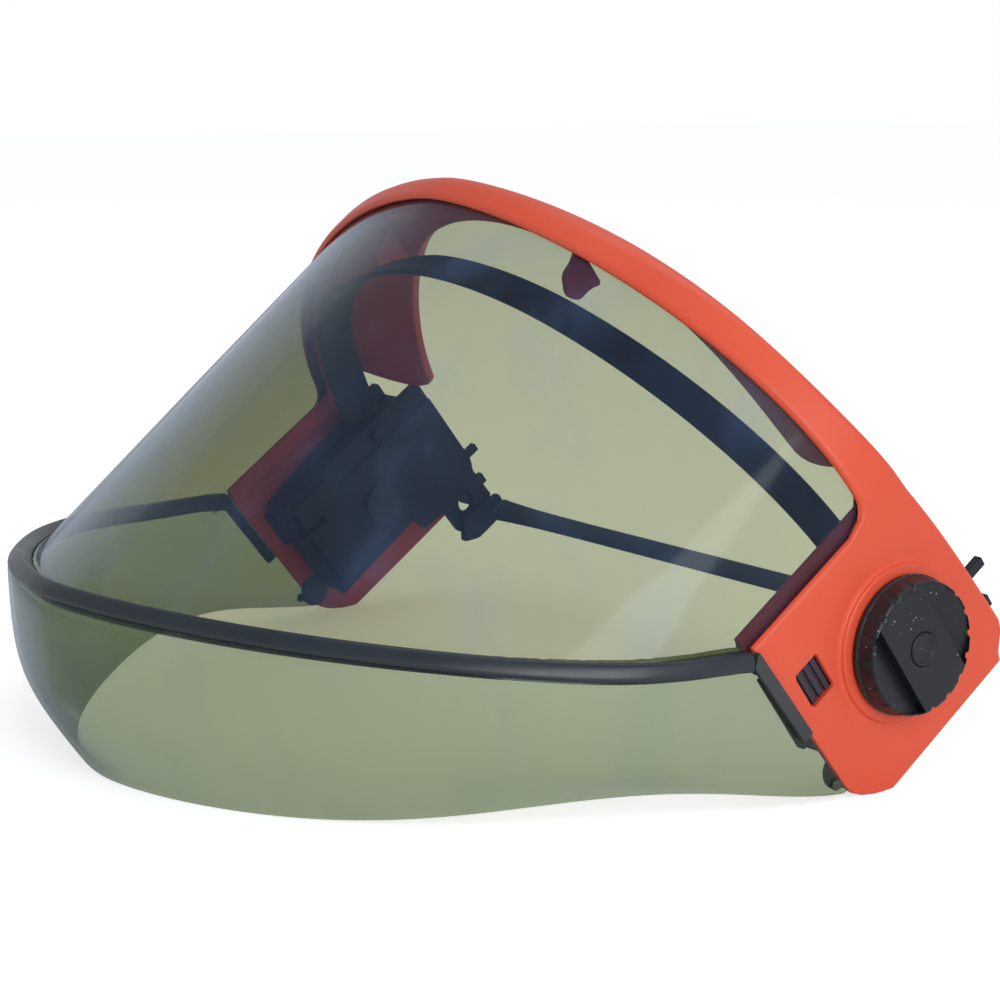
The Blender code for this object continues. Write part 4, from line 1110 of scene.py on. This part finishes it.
def tinted_sheet(name, through, haze_and_reflection_colour, haze_and_reflection_amount, facing_gloss, roughness, gloss_colour):
    """Thin tinted sheet: coloured transmission, clear surface gloss and a streaky diffuse layer that is partly
    real haze and partly a painted reflection of the surroundings.
    """
    shade = Shade(name)
    add, link = shade.add, shade.link
    clear = add("BsdfTransparent", Color=through)
    gloss = add("BsdfGlossy", Color=gloss_colour, Roughness=roughness)
    # Diffuse layer: partly haze and partly a painted reflection of the surroundings. It is heavier along
    # stretched noise streaks, which paint streak reflections.
    dust_and_painted_reflection = add("BsdfDiffuse", Color=haze_and_reflection_colour)
    streaks = add("Mapping", Rotation=(LEAN, 0.0, 0.0), Scale=(38.0, 38.0, 1.6))
    link(shade.spot, streaks.inputs["Vector"])
    pattern = add("TexNoise", Scale=1.0, Detail=5.0)
    link(streaks.outputs["Vector"], pattern.inputs["Vector"])
    amount = shade.ramp(pattern.outputs["Fac"],
                  [(0.35, grey(haze_and_reflection_amount * 0.6)), (0.55, grey(haze_and_reflection_amount)), (0.72, grey(haze_and_reflection_amount * 2.2))])
    with_haze_and_reflection = shade.mixed(amount, clear.outputs["BSDF"], dust_and_painted_reflection.outputs["BSDF"])
    facing = add("LayerWeight", Blend=0.5)
    steep = add("Math", set_operation="POWER")
    steep.inputs[1].default_value = 4.0
    link(facing.outputs["Facing"], steep.inputs[0])
    reflect = add("MapRange", To_Min=facing_gloss, To_Max=0.9)
    link(steep.outputs["Value"], reflect.inputs["Value"])
    link(shade.bumped(shade.noise(18.0, 1.0), 0.03, 0.0006), gloss.inputs["Normal"])
    whole = shade.mixed(reflect.outputs["Result"], with_haze_and_reflection, gloss.outputs["BSDF"])
    link(whole, shade.surface)
    return shade.material


def webbing(name, base, lighter):
    """Close woven strap: fine over-and-under ribs and a soft sheen."""
    shade = Shade(name)
    add, link = shade.add, shade.link
    shader = add("BsdfPrincipled", Roughness=0.72, Sheen_Weight=0.15, Sheen_Roughness=0.4)
    turned = add("Mapping", Rotation=(LEAN, 0.0, 0.0))
    link(shade.spot, turned.inputs["Vector"])
    ribs = add("TexWave", Scale=620.0, set_bands_direction="Z")
    cross = add("TexWave", Scale=520.0, set_bands_direction="DIAGONAL")
    for wave in (ribs, cross):
        link(turned.outputs["Vector"], wave.inputs["Vector"])
    weave = shade.product(ribs.outputs["Fac"], cross.outputs["Fac"])
    link(shade.ramp(weave, [(0.1, base), (0.9, lighter)]), shader.inputs["Base Color"])
    link(shade.bumped(weave, 0.12, 0.0001), shader.inputs["Normal"])
    link(shader.outputs["BSDF"], shade.surface)
    return shade.material


# ======== stage ========

def build_floor():
    """Pale floor that looks a little brighter to the camera than its light makes it."""
    bm = bmesh.new()
    bmesh.ops.create_grid(bm, x_segments=1, y_segments=1, size=FLOOR_HALF_SIZE)
    mesh = bpy.data.meshes.new("floor")
    bm.to_mesh(mesh)
    bm.free()
    floor = add_object("floor", mesh)
    shade = Shade("floor_white")
    add, link = shade.add, shade.link
    shader = add("BsdfPrincipled", Base_Color=grey(0.88), Roughness=0.9)
    glow = add("Emission", Color=grey(1.0))
    path = add("LightPath")
    lift = add("Math", set_operation="MULTIPLY")
    lift.inputs[1].default_value = FLOOR_LIFT
    link(path.outputs["Is Camera Ray"], lift.inputs[0])
    link(lift.outputs["Value"], glow.inputs["Strength"])
    both = add("AddShader")
    link(shader.outputs["BSDF"], both.inputs[0])
    link(glow.outputs["Emission"], both.inputs[1])
    link(both.outputs["Shader"], shade.surface)
    mesh.materials.append(shade.material)


def build_surround():
    """World that is white to the camera and a soft sky to everything else."""
    world = bpy.data.worlds.new("studio")
    SCENE.world = world
    world.use_nodes = True
    nodes, link = world.node_tree.nodes, world.node_tree.links.new
    path = nodes.new("ShaderNodeLightPath")
    coordinates = nodes.new("ShaderNodeTexCoord")
    parts = nodes.new("ShaderNodeSeparateXYZ")
    sky = nodes.new("ShaderNodeValToRGB")
    stops = sky.color_ramp.elements
    stops[0].position, stops[0].color = 0.0, SKY_LOW
    stops[1].position, stops[1].color = 0.8, SKY_HIGH
    seen = nodes.new("ShaderNodeMix")
    seen.data_type = "RGBA"
    seen.inputs[MIX_B].default_value = grey(1.0)
    link(coordinates.outputs["Generated"], parts.inputs["Vector"])
    link(parts.outputs["Z"], sky.inputs["Fac"])
    link(sky.outputs["Color"], seen.inputs[MIX_A])
    link(path.outputs["Is Camera Ray"], seen.inputs[0])
    link(seen.outputs[MIX_OUT], nodes["Background"].inputs["Color"])
    nodes["Background"].inputs["Strength"].default_value = 1.0


def area_light(name, place_at, aim, size, power):
    """Square soft box aimed at a point."""
    light = bpy.data.lights.new(name, "AREA")
    light.size = size
    light.energy = power
    lamp = add_object(name, light)
    lamp.location = place_at
    lamp.rotation_euler = (Vector(aim) - Vector(place_at)).to_track_quat("-Z", "Y").to_euler()


def build_camera():
    """Camera at the fitted viewing angle, level, with no shift and no depth of field."""
    azimuth, elevation = CAMERA_AZIMUTH, CAMERA_ELEVATION
    back = Vector((sin(azimuth) * cos(elevation), -cos(azimuth) * cos(elevation),
                   sin(elevation)))
    right = Vector((cos(azimuth), sin(azimuth), 0.0))
    up = back.cross(right)
    camera = add_object("camera", bpy.data.cameras.new("camera"))
    place_matrix = Matrix((right, up, back)).transposed().to_4x4()
    place_matrix.translation = HINGE + back * CAMERA_DISTANCE + right * CAMERA_RIGHT + up * CAMERA_UP
    camera.matrix_world = place_matrix
    camera.data.sensor_width = 36.0
    camera.data.lens = CAMERA_LENS
    camera.data.clip_start = 0.02
    SCENE.camera = camera


def dress_cad_nodes(names, material):
    """Give CAD nodes that stay shown a finished material."""
    for name in names:
        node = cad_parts[name]
        node.data.materials.clear()
        node.data.materials.append(material)
        shade_smooth(node, False)


def main():
    """Build the pieces, the stage and the camera."""
    SCENE.view_settings.view_transform = "Standard"
    orange = moulded_plastic("orange_moulding", (0.81, 0.098, 0.040), (0.77, 0.087, 0.034), 0.40, 0.05)
    maroon = moulded_plastic("inner_moulding", (0.74, 0.070, 0.068), (0.54, 0.050, 0.050), 0.50, 0.06,
                             speck=(500.0, 0.2, (0.5, 0.3, 0.3, 1.0)))
    black = moulded_plastic("black_moulding", (0.010, 0.012, 0.016), (0.007, 0.008, 0.011), 0.42, 0.06,
                            speck=(480.0, 0.18, grey(0.32)))
    inner = moulded_plastic("inner_black", (0.010, 0.012, 0.018), (0.007, 0.008, 0.012), 0.55, 0.06)
    rubber = moulded_plastic("edge_rubber", (0.020, 0.028, 0.036), (0.015, 0.021, 0.027), 0.32, 0.06,
                             scale=500.0, strength=0.05)
    trim = moulded_plastic("strip_rubber", (0.045, 0.050, 0.055), (0.035, 0.040, 0.044), 0.55, 0.05)
    green = moulded_plastic("tab_green", (0.050, 0.075, 0.045), (0.035, 0.055, 0.032), 0.35, 0.05)
    fastener = moulded_plastic("blackened_fastener", (0.03, 0.03, 0.033), (0.02, 0.02, 0.022), 0.30, 0.06)
    latch = moulded_plastic("latch_moulding", (0.042, 0.026, 0.040), (0.028, 0.018, 0.028), 0.42, 0.06)
    strap = webbing("strap_weave", (0.006, 0.009, 0.020, 1.0), (0.014, 0.018, 0.034, 1.0))
    rear_weave = webbing("rear_weave", (0.018, 0.026, 0.044, 1.0), (0.032, 0.044, 0.066, 1.0))
    # The window's blue diffuse colour is partly a painted reflection of the bluish surroundings over the parts
    # seen through it.
    window_tint = tinted_sheet("window_tint", (0.62, 0.63, 0.49, 1.0), (0.25, 0.42, 0.90, 1.0),
                               0.045, 0.012, 0.10, (0.80, 0.88, 1.0, 1.0))
    chin_tint = tinted_sheet("chin_tint", (0.58, 0.62, 0.50, 1.0), (0.35, 0.42, 0.40, 1.0),
                             0.06, 0.02, 0.06, (0.80, 0.88, 1.0, 1.0))
    glue = tinted_sheet("glue_clear", (0.40, 0.42, 0.26, 1.0), (0.25, 0.27, 0.14, 1.0),
                        0.15, 0.04, 0.15, grey(1.0))

    build_camera()
    build_frame(orange)
    build_bosses(orange)
    build_window(window_tint)
    build_retainer(maroon)
    build_gasket(rubber)
    build_glue_line(glue)
    build_chin(chin_tint)
    build_side_trim(trim, green)
    build_clips(orange)
    build_latches(latch)
    build_carriers(inner)
    build_brow_strap(strap, inner)
    build_rear_strap(rear_weave, inner)
    build_knobs(black)
    dress_cad_nodes(["pivot_stud_left", "pivot_stud_right"], fastener)
    dress_cad_nodes(["pivot_spacer_left", "pivot_spacer_right"], inner)
    dress_cad_nodes(["friction_disc_left", "friction_disc_right"], rubber)

    build_floor()
    build_surround()
    area_light("key_box", (1.5, -0.35, 0.75), (0.05, 0.0, 0.08), 1.0, 13.0)
    area_light("top_box", (0.0, 0.5, 1.6), (0.0, 0.0, 0.08), 1.2, 5.0)


main()
